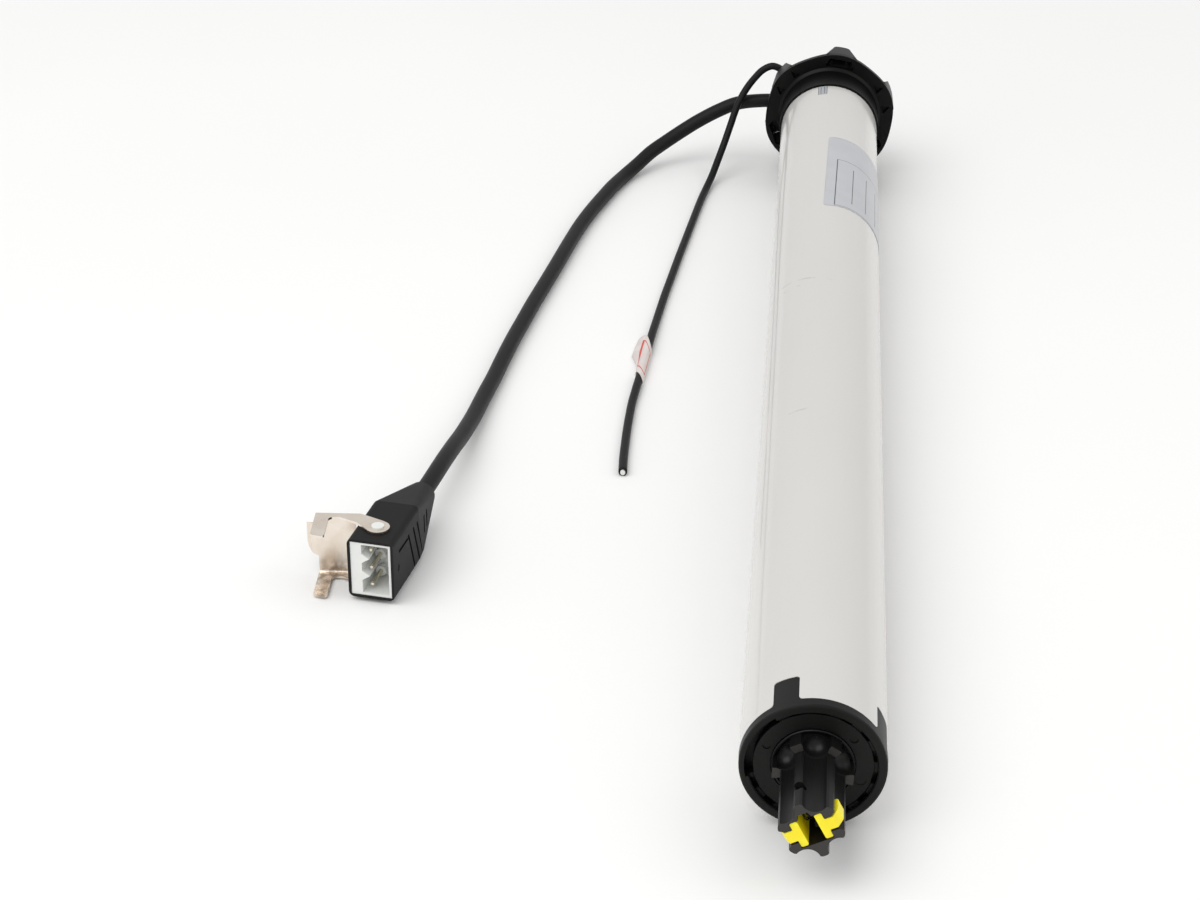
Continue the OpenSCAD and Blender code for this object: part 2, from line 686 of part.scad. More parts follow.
module output_carrier() {
    color(steel) along_axis() difference() {
        union() {
            carrier_disc(carrier3_lo, carrier3_hi);
            translate([0, 0, carrier3_hi - 1]) cylinder(r = boss3_r,
                h = journal_lo - carrier3_hi + 1 - end_gap);
        }
        translate([0, 0, carrier3_lo + 1 - seat_fit]) cylinder(r = hex_r + seat_fit, h = shaft_tip,
            $fn = 6);
    }
}

module second_carrier() {
    color(steel) along_axis() {
        carrier_disc(carrier2_lo, carrier2_hi);
        gear(sun_n, carrier2_hi - 0.5, planet3_hi + part_gap / 2);
    }
}

module first_carrier() {
    color(steel) along_axis() {
        carrier_disc(carrier1_lo, carrier1_hi);
        gear(sun_n, carrier1_hi - 0.5, planet2_hi + part_gap / 2);
    }
}

module motor_pinion() {
    color(steel) along_axis() difference() {
        gear(sun_n, planet1_lo - part_gap / 2, spindle_end);
        translate([0, 0, planet1_lo - 5]) cylinder(r = pinion_bore_r + seat_fit, h = planet_w1 + 20);
    }
}

module planet(k, lo, hi) {
    color(bronze) along_axis() at_planet(k) difference() {
        gear(planet_n, lo, hi);
        translate([0, 0, lo - 1]) cylinder(r = pin_d / 2 + run_fit, h = hi - lo + 2);
    }
}

module planet_1a() {
    planet(0, planet1_lo, planet1_hi);
}

module planet_1b() {
    planet(1, planet1_lo, planet1_hi);
}

module planet_1c() {
    planet(2, planet1_lo, planet1_hi);
}

module planet_2a() {
    planet(0, planet2_lo, planet2_hi);
}

module planet_2b() {
    planet(1, planet2_lo, planet2_hi);
}

module planet_2c() {
    planet(2, planet2_lo, planet2_hi);
}

module planet_3a() {
    planet(0, planet3_lo, planet3_hi);
}

module planet_3b() {
    planet(1, planet3_lo, planet3_hi);
}

module planet_3c() {
    planet(2, planet3_lo, planet3_hi);
}

module planet_pins(lo, hi) {
    color(steel) along_axis() for (k = [0:planet_count - 1]) at_planet(k)
        translate([0, 0, lo - part_gap / 2]) cylinder(d = pin_d, h = hi - lo + part_gap / 2);
}

module planet_pins_1() {
    planet_pins(planet1_lo, carrier1_hi);
}

module planet_pins_2() {
    planet_pins(planet2_lo, carrier2_hi);
}

module planet_pins_3() {
    planet_pins(planet3_lo, carrier3_hi - 1 - slip_fit);
}

// Motor

module front_shield() {
    color(zinc) along_axis() difference() {
        union() {
            translate([0, 0, shield_lo]) cylinder(r = inner_r, h = shield_t);
            translate([0, 0, shield_lo - boss_len]) cylinder(r = bearing_d / 2 + 2.4, h = boss_len + 1);
        }
        translate([0, 0, shield_lo - boss_len - 1]) cylinder(r = bearing_d / 2 + seat_fit,
            h = bearing_w + 1.5);
        translate([0, 0, shield_lo - boss_len - 1]) cylinder(r = spindle_r + 0.6, h = 40);
    }
}

module bearing(lo) {
    color(steel) along_axis() ring(spindle_r + run_fit, bearing_d / 2, lo, lo + bearing_w);
}

module front_bearing() {
    bearing(shield_lo - boss_len + 0.4);
}

module rotor_shaft() {
    color(steel) along_axis() {
        translate([0, 0, spindle_lo]) cylinder(r = spindle_r, h = shield_hi - spindle_lo);
        translate([0, 0, shield_hi - 1]) cylinder(r = pinion_bore_r, h = spindle_end - shield_hi + 1);
    }
}

module rotor_core() {
    color(zinc) along_axis() ring(spindle_r + seat_fit, rotor_d / 2, stator_lo + 2, stator_hi - 2);
}

slot_count = 12;
core_back = 3;
module winding_slots(grow) {
    for (k = [0:slot_count - 1]) rotate(360 / slot_count * k)
        translate([rotor_d / 2 + 2.4 - grow, -1.8 - grow])
            square([inner_r - core_back - rotor_d / 2 - 2.4 + 2 * grow, 3.6 + 2 * grow]);
}

module stator_core() {
    color(steel) along_axis() difference() {
        ring(rotor_d / 2 + end_gap, inner_r, stator_lo, stator_hi);
        translate([0, 0, stator_lo - 1]) linear_extrude(stator_len + 2) winding_slots(0.15);
    }
}

module stator_windings() {
    coil_r0 = rotor_d / 2 + 2.4;
    coil_r1 = inner_r - core_back;
    color(copper) along_axis() {
        translate([0, 0, stator_lo - 1]) linear_extrude(stator_len + 2) winding_slots(0);
        ring(coil_r0, coil_r1, stator_lo - coil_len, stator_lo - seat_fit);
        ring(coil_r0, coil_r1, stator_hi + seat_fit, stator_hi + coil_len);
    }
}

module rear_bearing() {
    bearing(rear_hi + boss_len - 0.4 - bearing_w);
}

module rear_shield() {
    color(zinc) along_axis() difference() {
        union() {
            translate([0, 0, rear_lo]) cylinder(r = inner_r, h = rear_t);
            translate([0, 0, rear_hi - 1]) cylinder(r = bearing_d / 2 + 2.4, h = boss_len + 1);
        }
        translate([0, 0, rear_hi + boss_len - 0.4 - bearing_w - seat_fit])
            cylinder(r = bearing_d / 2 + seat_fit, h = 20);
        translate([0, 0, rear_lo - 1]) cylinder(r = spindle_r + 0.6, h = 40);
    }
}

module brake_disc() {
    color(zinc) along_axis() ring(spindle_r + seat_fit, brake_d / 2, disc_lo, disc_hi);
}

module brake_plate() {
    color(steel) along_axis() ring(spindle_r + 1, inner_r, plate_lo, plate_hi);
}

module brake_spring() {
    r0 = spindle_r + 2;
    r1 = brake_d / 2;
    color(steel) along_axis() translate([0, 0, brake_hi]) rotate_extrude()
        polygon([[r0, 0], [r0 + 1, 0], [r1, spring_t - 0.8], [r1, spring_t], [r1 - 1, spring_t], [r0,
            0.8]]);
}

module brake_coil() {
    color(copper) along_axis() ring(spindle_r + 3 + seat_fit, brake_d / 2 - seat_fit,
        brake_lo + 4 + seat_fit, brake_hi - 1.5);
}

module brake_housing() {
    color(zinc) along_axis() difference() {
        translate([0, 0, brake_lo]) cylinder(r = inner_r, h = brake_len);
        ring(spindle_r + 3, brake_d / 2, brake_lo + 4, brake_hi + 1);
        translate([0, 0, spindle_lo - 1]) cylinder(r = spindle_r + 0.6, h = brake_len);
    }
}

// Electronics

saddle_t = 4;
tray_wall = 1.5;
tray_r = inner_r - tray_wall;
capacitor_hi = carrier_hi - 4;
capacitor_lo = capacitor_hi - capacitor_len;
board_hi = capacitor_lo - 3;
board_lo = spigot_end + 4;
board_y = -5;
saddles = [capacitor_lo + 6, capacitor_hi - 10];
terminal_len = 14;
terminal_h = 9;
relay_len = 20;
lead_tail = 14;

module capacitor() {
    r = capacitor_d / 2;
    color(grey_paint) along_axis() translate([0, 0, capacitor_lo]) rotate_extrude()
        polygon([[0, 0], [4, 0], [4, 1], [r - 1.5, 1], [r, 2.5], [r, capacitor_len - 1], [r - 1,
            capacitor_len], [0, capacitor_len]]);
}

module board_carrier() {
    color(black_plastic) along_axis() {
        ring(spigot_r + run_fit, inner_r, carrier_lo, spigot_end + 1);
        difference() {
            ring(tray_r, inner_r, spigot_end, carrier_hi);
            translate([-50, -2, spigot_end + 1]) cube([100, 100, carrier_hi - spigot_end - 4]);
        }
        for (lo = saddles) difference() {
            ring(capacitor_d / 2 + slip_fit, tray_r + 0.5, lo, lo + saddle_t);
            translate([-50, -2, lo - 1]) cube([100, 100, saddle_t + 2]);
        }
        for (k = [-1, 1]) intersection() {
            ring(5, tray_r + 0.5, board_lo, board_hi);
            translate([k * (board_w / 2 - 1.2) - 2.4, -30, board_lo])
                cube([4.8, 30 + board_y, board_hi - board_lo]);
        }
    }
}

module circuit_board() {
    color(board_green) along_axis() translate([-board_w / 2, board_y, board_lo])
        cube([board_w, board_t, board_hi - board_lo]);
}

module relay_block() {
    color(black_plastic) along_axis() for (k = [0:1]) translate([-12 + 13 * k, board_y + board_t,
        board_lo + 45])
        cube([11, 14, relay_len]);
}

module terminal_block() {
    color(grey_paint) along_axis() translate([-11, board_y + board_t, board_lo + 4])
        cube([22, terminal_h, terminal_len]);
}

module supply_leads() {
    color(copper) along_axis() for (k = [0:3]) translate([-7.5 + 5 * k,
        board_y + board_t + terminal_h / 2, spigot_end - lead_tail])
        cylinder(r = 1.1, h = board_lo + 4 - spigot_end + lead_tail);
}

// Head and crown

module tube_lock_ring() {
    color(zinc) along_axis() {
        ring(spigot_r + seat_fit, inner_r, tube_at, carrier_lo - end_gap);
        for (k = [0:3]) difference() {
            outwards(notch_turn + 90 * k, inner_r - 1, tube_r - seat_fit)
                mirror([0, 1]) polygon(tongue(notch_w - 2 * notch_fit, notch_fit - tube_at - notch_len,
                    -tube_at,
                    notch_round - notch_fit));
            for (s = [-1, 1]) outwards(notch_turn + 90 * k, tube_r - 0.5, tube_r + 1)
                translate([s * notch_w / 5 - 0.25, tube_at + 1]) square([0.5, notch_len - 2.2]);
        }
    }
}

module head_body() {
    color(black_plastic) along_axis() difference() {
        union() {
            translate([0, 0, cover_t]) cylinder(d = head_d, h = head_flange_end - cover_t);
            translate([0, 0, cover_t]) cylinder(r = neck_r, h = tube_at - cover_t - seat_fit);
            translate([0, 0, cover_t]) cylinder(r = spigot_r, h = spigot_end - cover_t);
        }
        translate([0, 0, cover_t - 1]) cylinder(r = chamber_r, h = spigot_end);
        ring(chamber_r - 1, spigot_r - 2, tube_at - 12, spigot_end + 1);
        mains_pocket(seat_fit);
        antenna_pocket(seat_fit);
        for (k = [0:3]) rotate([0, 0, mount_turn + 90 * k]) translate([mount_r, 0, -1])
            cylinder(d = mount_hole_d, h = mount_hole_len + 1);
        for (turn = screw_turns) rotate([0, 0, turn]) translate([mount_r, 0, -1])
            cylinder(r = screw_r + seat_fit, h = screw_len + 2);
    }
}

module head_cover() {
    color(black_plastic) along_axis() difference() {
        rotate_extrude() polygon([[0, 0], [cover_d / 2 - 1, 0], [cover_d / 2, 1], [cover_d / 2,
            cover_t], [0, cover_t]]);
        for (k = [0:3]) rotate([0, 0, mount_turn + 90 * k]) translate([mount_r, 0, -1])
            cylinder(d = mount_hole_d, h = cover_t + 2);
        mains_pocket(seat_fit);
        for (turn = screw_turns) rotate([0, 0, turn]) translate([mount_r, 0, 0]) {
            translate([0, 0, -1]) cylinder(r = screw_r + slip_fit, h = cover_t + 2);
            translate([0, 0, -1]) cylinder(r = screw_head_r + slip_fit, h = screw_head_t + 1.2);
        }
    }
}

module cover_screws() {
    color(steel) along_axis() for (turn = screw_turns) rotate([0, 0, turn]) translate([mount_r, 0, 0])
        difference() {
        union() {
            translate([0, 0, 0.2]) cylinder(r = screw_head_r, h = screw_head_t);
            translate([0, 0, 0.2]) cylinder(r = screw_r, h = screw_len);
        }
        for (a = [0, 90]) rotate([0, 0, a]) translate([-1.6, -0.3, -0.5]) cube([3.2, 0.6, 1.5]);
    }
}

// Outline of the crown's flange, which swells gently at each lug
module crown_outline() {
    polygon([for (a = [0:2:358]) polar(crown_edge(a), a)]);
}

// Side view of one lug, with two round corners at its end
function lug_side(top) = concat([[lug_half_front, top], [-lug_half_front, top]],
    corner(-lug_half_end + lug_round, lug_round, lug_round, 180),
    corner(lug_half_end - lug_round, lug_round, lug_round, 270));

// An open window, whose hollow narrows with the lug behind it
module lug_window(flange_lo) {
    half_front = lug_half_front - lug_wall;
    half_end = lug_half_end - lug_wall;
    intersection() {
        translate([0, 0, lug_wall]) linear_extrude(crown_flange_at + 1)
            polygon([[window_lo, -window_half_lo], [window_hi, -window_half_hi],
                [window_hi, window_half_hi], [window_lo, window_half_lo]]);
        outwards(0, window_lo - 1, window_hi + 1)
            polygon([[half_front, crown_flange_at + 2], [-half_front, crown_flange_at + 2],
                [-half_front, flange_lo + 0.7],
                [-half_end, lug_wall - 1], [half_end, lug_wall - 1], [half_front, flange_lo + 0.7]]);
    }
}

// A window with a bar across its middle, so that only its two corners are open
module barred_window(flange_lo) {
    for (s = [-1, 1]) translate([0, 0, flange_lo + 0.4]) linear_extrude(crown_flange_t)
        polygon([[window_lo, s * window_half_lo], [window_hi, s * window_half_hi], [window_lo + 0.4,
            s * window_bar_half]]);
}

module crown() {
    flange_lo = crown_flange_at - crown_flange_t;
    color(black_plastic) along_axis() translate([0, 0, crown_at]) difference() {
        union() {
            cylinder(r = collar_r - 0.6, h = crown_flange_at - 1);
            translate([0, 0, flange_lo + 1]) cylinder(r = collar_r, h = crown_len - flange_lo - 1);
            translate([0, 0, crown_flange_at - 0.5]) cylinder(r1 = collar_r + 1.7, r2 = collar_r - 0.1,
                h = 1.8);
            translate([0, 0, flange_lo]) linear_extrude(crown_flange_t) crown_outline();
            for (k = [0:lug_count - 1]) intersection() {
                outwards(lug_turn + 60 * k, collar_r - 2, crown_r + 1) polygon(lug_side(flange_lo + 0.7));
                cylinder(r = crown_r - 0.2, h = crown_flange_at);
            }
        }
        for (k = [0:lug_count - 1]) rotate([0, 0, lug_turn + 60 * k]) {
            if (k % 2 == 1) lug_window(flange_lo);
            if (k % 2 == 0) barred_window(flange_lo);
        }
        translate([0, 0, -1]) cylinder(r = neck_r + run_fit, h = crown_len + 2);
    }
}

gland_r = 4.7;
gland_in = 11.5;
gland_out = 28;
module mains_pocket(fit) {
    translate([0, 0, mains_at]) rotate([0, -90, 0]) translate([0, 0, gland_in - fit])
        cylinder(r = gland_r + fit, h = 20);
}

module mains_gland() {
    color(black_plastic) along_axis() translate([0, 0, mains_at]) rotate([0, -90, 0]) rotate_extrude()
        polygon([[mains_r + run_fit, gland_in], [gland_r, gland_in], [gland_r, head_d / 2 + 1],
            [mains_r + 0.8, gland_out - 0.6],
            [mains_r + 0.5, gland_out], [mains_r + run_fit, gland_out]]);
}

sleeve_r = 3;
sleeve_in = 14.5;
sleeve_out = 26;
module antenna_pocket(fit) {
    translate([0, 0, antenna_at]) rotate([0, 0, antenna_turn]) rotate([0, 90, 0])
        translate([0, 0, sleeve_in - fit])
        cylinder(r = sleeve_r + fit, h = 20);
}

module antenna_gland() {
    color(black_plastic) along_axis() translate([0, 0, antenna_at]) rotate([0, 0, antenna_turn])
        rotate([0, 90, 0]) rotate_extrude()
        polygon([[antenna_r + run_fit, sleeve_in], [sleeve_r, sleeve_in], [sleeve_r, head_d / 2 + 0.6],
            [antenna_r + 0.5, sleeve_out], [antenna_r + run_fit, sleeve_out]]);
}

// Cords

module mains_cord() {
    color(black_plastic) swept_tube(mains_route, mains_r, 10);
}

module antenna_cord() {
    color(black_plastic) swept_tube(antenna_route, antenna_r, 8);
}

// The white core that shows at the antenna's cut end
module antenna_core() {
    end = antenna_route[len(antenna_route) - 1];
    way = heading(antenna_route, len(antenna_route) - 1);
    color(white_plastic) translate(end) rotate([0, acos(way[2]), atan2(way[1], way[0])])
        cylinder(d = core_d, h = 0.8);
}

// A sleeve round the antenna cord with a flap that stands off to its left
module marker_flag() {
    run = flag_to - flag_from;
    color(white_plastic) translate(flag_from) rotate([0, 0, atan2(run[1], run[0]) + 90])
        rotate([90 - surface_tilt, 0, 0]) difference() {
        union() {
            cylinder(r = antenna_r + run_fit + flag_t, h = norm(run));
            translate([-antenna_r - flag_flap, 0.4, 0]) cube([antenna_r + flag_flap, 2 * flag_t,
                norm(run)]);
        }
        translate([0, 0, -1]) cylinder(r = antenna_r + run_fit, h = norm(run) + 2);
    }
}

// Plug

// A round-ended groove in the plug's right face, between two points along and up that face
module plug_groove(from, to) {
    translate([plug_w / 2 - groove_depth, 0, 0]) rotate([90, 0, 90]) linear_extrude(2) hull() {
        translate(from) circle(d = groove_w, $fn = 16);
        translate(to) circle(d = groove_w, $fn = 16);
    }
}

module plug_body() {
    grip_lean = tan(groove_slant);
    color(black_plastic) at_plug() difference() {
        union() {
            translate([0, plug_box_len, 0]) rotate([90, 0, 0]) linear_extrude(plug_box_len)
                polygon(round_rect(plug_w, plug_h, plug_round));
            hull() {
                translate([0, plug_box_len + 0.5, 0]) rotate([90, 0, 0]) linear_extrude(0.5)
                    polygon(round_rect(plug_w, plug_h, plug_round));
                translate([0, plug_box_len + 7, 0]) rotate([90, 0, 0]) linear_extrude(0.5)
                    polygon(round_rect(plug_w - 1.4, plug_h / 2, plug_round));
                translate([0, plug_len, plug_mid]) rotate([90, 0, 0])
                    cylinder(d = plug_neck_d, h = 1, $fn = 32);
            }
        }
        translate([-insert_w / 2 - seat_fit, -1, plug_wall])
            cube([insert_w + 2 * seat_fit, insert_len + 1 + seat_fit, insert_h + 2 * seat_fit]);
        translate([0, peg_at, -1]) cylinder(r = peg_r + seat_fit, h = plug_h + 2);
        translate([0, plug_len + 1, plug_mid]) rotate([90, 0, 0])
            cylinder(r = mains_r + run_fit, h = neck_bore_len + 1 + seat_fit);
        for (y = [19.5, 24.8, 29]) plug_groove([y - grip_lean * 7, plug_h - 5.8], [y + grip_lean * 9, 1]);
        plug_groove([7, plug_h - 6.4], [16.9, plug_h - 6.4]);
        translate([plug_w / 2 - 0.2, 5, plug_mid - 0.5]) rotate([0, 90, 0]) cylinder(r = 1.3, h = 2);
        for (k = [0:1]) translate([plug_w / 2 - 1.8 - 0.6 * k, plug_box_len + 8 + 4.5 * k, plug_mid - 4])
            cube([4, 1.6, 7]);
    }
}

module plug_insert() {
    z0 = plug_wall + seat_fit;
    pin_rows = [for (k = [-1:1]) plug_mid + contact_pitch * k];
    color(white_plastic) at_plug() {
        difference() {
            translate([-insert_w / 2, 0.3, z0]) cube([insert_w, insert_len - 0.3, insert_h]);
            difference() {
                translate([chamber_left, -1, z0 + insert_rim])
                    cube([insert_w / 2 - insert_rim - chamber_left, plug_depth + 1,
                        insert_h - 2 * insert_rim]);
                for (k = [0:1]) translate([0, plug_depth + 2,
                    (pin_rows[k] + pin_rows[k + 1]) / 2 + tooth_rise]) rotate([90, 0, 0])
                    linear_extrude(plug_depth + 4) polygon([[chamber_left - 1, -tooth_half_h],
                        [chamber_left, -tooth_half_h],
                        [chamber_left + tooth_reach, 0], [chamber_left, tooth_half_h],
                            [chamber_left - 1, tooth_half_h]]);
            }
            for (z = pin_rows) translate([contact_x, insert_len + 1, z]) rotate([90, 0, 0])
                cylinder(r = contact_d / 2 + seat_fit, h = insert_len - plug_depth + 4);
        }
        for (z = pin_rows) translate([contact_x, plug_depth + 0.5, z]) rotate([90, 0, 0])
            ring(contact_d / 2 + seat_fit, boss_r, 0, 3);
        for (z = [-clip_t - clip_gap - 0.6, plug_h - plug_wall - 0.5]) translate([0, peg_at, z])
            cylinder(r = peg_r, h = plug_wall + clip_t + clip_gap + 1.1);
    }
}

module contact_pins() {
    color(nickel_sheet) at_plug() for (k = [-1:1]) translate([contact_x, insert_len - 1,
        plug_mid + contact_pitch * k]) rotate([90, 0, 0])
        rotate_extrude() polygon([[0, 0], [contact_d / 2, 0], [contact_d / 2,
            insert_len - contact_tip - 1.8],
            [contact_d / 2 - 0.3, insert_len - contact_tip - 1], [0, insert_len - contact_tip - 1]]);
}

// Plan of the clip's two arms: a pad round the peg, a narrow neck and a hook
module clip_plan() {
    difference() {
        offset(r = -1.5, $fn = 24) offset(delta = 1.5) offset(r = 1.2, $fn = 24) offset(delta = -1.2)
            union() {
            circle(r = clip_pad_r);
            polygon([[2.6, 3.5], [7.5, -2.6], [14.2, -clip_side + 3.1], [clip_reach - hook_w,
                -clip_side + 3.4],
                [clip_reach - hook_w, hook_reach], [clip_reach, hook_reach - 1.6], [clip_reach,
                    -clip_side - clip_t],
                [clip_root, -clip_side - clip_t], [-2.8, -3.4]]);
        }
        circle(r = clip_hole_r);
    }
}

// Section of the round in a bend, in the corner between two flat sides
function bend_section(r, over) = concat([[-0.1, -0.1], [r, -0.1]],
    [for (a = [270:-15:180]) [r + (r + over) * cos(a), r + (r + over) * sin(a)]], [[-0.1, r]]);

module bend_run(r, over, len) {
    rotate([90, 0, 90]) linear_extrude(len) polygon(bend_section(r, over));
}

module locking_clip() {
    top = plug_h + clip_gap;
    low = -clip_gap - clip_t;
    side_len = clip_reach - 0.2 - clip_root;
    color(nickel_sheet) at_plug() translate([0, peg_at, 0]) rotate([0, 0, 180 + clip_open]) {
        difference() {
            union() {
                for (z = [low, top]) translate([0, 0, z]) linear_extrude(clip_t) clip_plan();
                translate([clip_root, -clip_side - clip_t, low])
                    cube([side_len, clip_t, top + clip_t - low]);
                translate([clip_root, -clip_side, low + clip_t]) bend_run(bend_in, -0.03, side_len);
                translate([clip_root, -clip_side, top]) mirror([0, 0, 1])
                    bend_run(bend_in, -0.03, side_len);
            }
            translate([0, -clip_side - clip_t, low]) bend_run(bend_out, 0.03, clip_reach + 1);
            translate([0, -clip_side - clip_t, top + clip_t]) mirror([0, 0, 1])
                bend_run(bend_out, 0.03, clip_reach + 1);
        }
        translate([clip_reach - 1.4, -clip_side - clip_t, plug_mid - 5.2]) cube([1.4, clip_t, tab_len]);
        translate([clip_reach - 0.2, -clip_side - tab_r, plug_mid - 5.2]) intersection() {
            ring(tab_r - clip_t, tab_r, 0, tab_len);
            translate([-0.4, 0, -1]) rotate([90, 0, 90]) linear_extrude(tab_r + 2)
                polygon([[0, 6], [1.4, 5.1], [tab_r + 1, 0], [tab_r + 1, tab_len + 2], [1.4, tab_len],
                    [0, tab_len - 0.8]]);
        }
    }
}

tube();
rating_label();
end_cap();
output_bush();
drive_shaft();
jaw_right();
jaw_left();
jaw_spring();
gear_housing();
output_carrier();
second_carrier();
first_carrier();
motor_pinion();
planet_1a();
planet_1b();
planet_1c();
planet_2a();
planet_2b();
planet_2c();
planet_3a();
planet_3b();
planet_3c();
planet_pins_1();
planet_pins_2();
planet_pins_3();
front_shield();
front_bearing();
rotor_shaft();
rotor_core();
stator_core();
stator_windings();
rear_bearing();
rear_shield();
brake_disc();
brake_plate();
brake_spring();
brake_coil();
brake_housing();
capacitor();
board_carrier();
circuit_board();
relay_block();
terminal_block();
supply_leads();
tube_lock_ring();
head_body();
head_cover();
cover_screws();
crown();
mains_gland();
antenna_gland();
mains_cord();
antenna_cord();
antenna_core();
marker_flag();
plug_body();
plug_insert();
contact_pins();
locking_clip();
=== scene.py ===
import math

import bpy
import numpy as np
from mathutils import Matrix


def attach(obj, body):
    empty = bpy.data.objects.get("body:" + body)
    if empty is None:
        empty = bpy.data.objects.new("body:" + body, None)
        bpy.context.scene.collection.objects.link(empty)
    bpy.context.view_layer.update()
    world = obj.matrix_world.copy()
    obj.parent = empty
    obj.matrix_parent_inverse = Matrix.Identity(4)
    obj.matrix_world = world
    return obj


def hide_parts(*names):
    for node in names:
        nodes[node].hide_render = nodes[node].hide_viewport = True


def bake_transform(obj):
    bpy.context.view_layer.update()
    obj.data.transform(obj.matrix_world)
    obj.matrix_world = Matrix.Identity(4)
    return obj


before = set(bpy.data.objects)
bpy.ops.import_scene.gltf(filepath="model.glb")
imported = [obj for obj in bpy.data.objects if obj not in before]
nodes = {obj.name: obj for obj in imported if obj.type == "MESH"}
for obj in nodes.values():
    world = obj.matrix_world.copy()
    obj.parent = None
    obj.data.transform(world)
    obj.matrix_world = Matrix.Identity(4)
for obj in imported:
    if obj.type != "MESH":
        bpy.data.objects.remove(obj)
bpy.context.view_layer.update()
scene = bpy.context.scene
mm = 0.001
print("frame loaded:", len(nodes), "nodes")

# what the whole motor shares with its solids, in millimetres
motor = {"tubeRadius": 22.5, "driveEnd": 555.0, "crownRadius": 31.1, "crownEnd": 13.3}
slope = (motor["crownRadius"] - motor["tubeRadius"]) / (motor["driveEnd"] - motor["crownEnd"])
tilt = math.atan(slope)


def surfaceHeight(y):
    # height of the table under a point: a plane through the tube's drive end and the crown
    return -motor["tubeRadius"] - slope * (y + motor["driveEnd"])


class Wire:
    # a shader socket that takes part in Python arithmetic
    def __init__(self, tree, socket=None):
        self.tree = tree
        self.socket = socket

    def node(self, kind, settings=None, links=None, out=0):
        # any node: its settings first, then the values or links of its sockets
        made = self.tree.nodes.new("ShaderNode" + kind)
        for name, value in (settings or {}).items():
            if name == "stops":
                for stop, (place, grey) in zip(made.color_ramp.elements, value):
                    stop.position = place
                    stop.color = (grey, grey, grey, 1)
            else:
                setattr(made, name, value)
        for name, value in (links or {}).items():
            if isinstance(value, Wire):
                self.tree.links.new(value.socket, made.inputs[name])
            else:
                made.inputs[name].default_value = value
        return Wire(self.tree, made.outputs[out])

    def maths(self, operation, *terms):
        return self.node("Math", {"operation": operation}, dict(enumerate(terms)))

    def __add__(self, other):
        return self.maths("ADD", self, other)

    __radd__ = __add__

    def __sub__(self, other):
        return self.maths("SUBTRACT", self, other)

    def __rsub__(self, other):
        return self.maths("SUBTRACT", other, self)

    def __mul__(self, other):
        return self.maths("MULTIPLY", self, other)

    __rmul__ = __mul__

    def __truediv__(self, other):
        return self.maths("DIVIDE", self, other)

    def __abs__(self):
        return self.maths("ABSOLUTE", self)

    def below(self, limit):
        return self.maths("LESS_THAN", self, limit)

    def above(self, limit):
        return self.maths("GREATER_THAN", self, limit)

    def within(self, low, high):
        return self.above(low) * self.below(high)

    def split(self, axis):
        return self.node("SeparateXYZ", links={0: self}, out=axis)

    def ramp(self, first, last):
        # grey between two stops, each a place and its grey
        return self.node("ValToRGB", {"stops": (first, last)}, {0: self})

    def blend(self, first, second):
        # this value mixes two colours
        return self.node("Mix", {"data_type": "RGBA"}, {0: self, 6: first, 7: second}, out=2)

    def mottle(self, band, colours):
        # two sRGB colours: the first below the band of this value, the second above it
        low, high = band
        return self.ramp((low, 0), (high, 1)).blend(*(rgb(*colour) for colour in colours))


def rgb(red, green, blue):
    # an sRGB colour, 0 to 255, as the linear colour that a socket takes
    value = np.array([red, green, blue]) / 255
    linear = np.where(value > 0.04045, ((value + 0.055) / 1.055) ** 2.4, value / 12.92)
    return tuple(float(x) for x in linear) + (1.0,)


def finishNamed(name, build):
    # a material: build gets a blank wire and returns what the shader's sockets take
    material = bpy.data.materials.new(name)
    material.use_nodes = True
    tree = material.node_tree
    shader = tree.nodes["Principled BSDF"]
    for socket, value in build(Wire(tree)).items():
        if isinstance(value, Wire):
            tree.links.new(value.socket, shader.inputs[socket])
        else:
            shader.inputs[socket].default_value = value
    return material


def placeOf(wire):
    # a point's own place on its piece, in metres
    return wire.node("TexCoord", out=3)


def stationOf(wire):
    # distance of a point from the mounting face along the tube, in millimetres
    return placeOf(wire).split(1) * (-1 / mm)


def overTable(wire):
    # height of a point over the table, in millimetres
    place = placeOf(wire)
    rise = (place.split(1) * (1 / mm) + motor["driveEnd"]) * slope
    return place.split(2) * (1 / mm) + rise + motor["tubeRadius"]


def noise(wire, scale, detail, stretch=(1, 1, 1)):
    # cloudy noise in the piece's own metres, stretched along its axes
    moved = wire.node("Mapping", links={"Vector": placeOf(wire), "Scale": stretch})
    return wire.node("TexNoise", links={"Vector": moved, "Scale": scale, "Detail": detail})


grainDepth = 0.0002  # metres


def bump(wire, height, strength, depth=grainDepth):
    return wire.node("Bump", links={"Strength": strength, "Distance": depth, "Height": height})


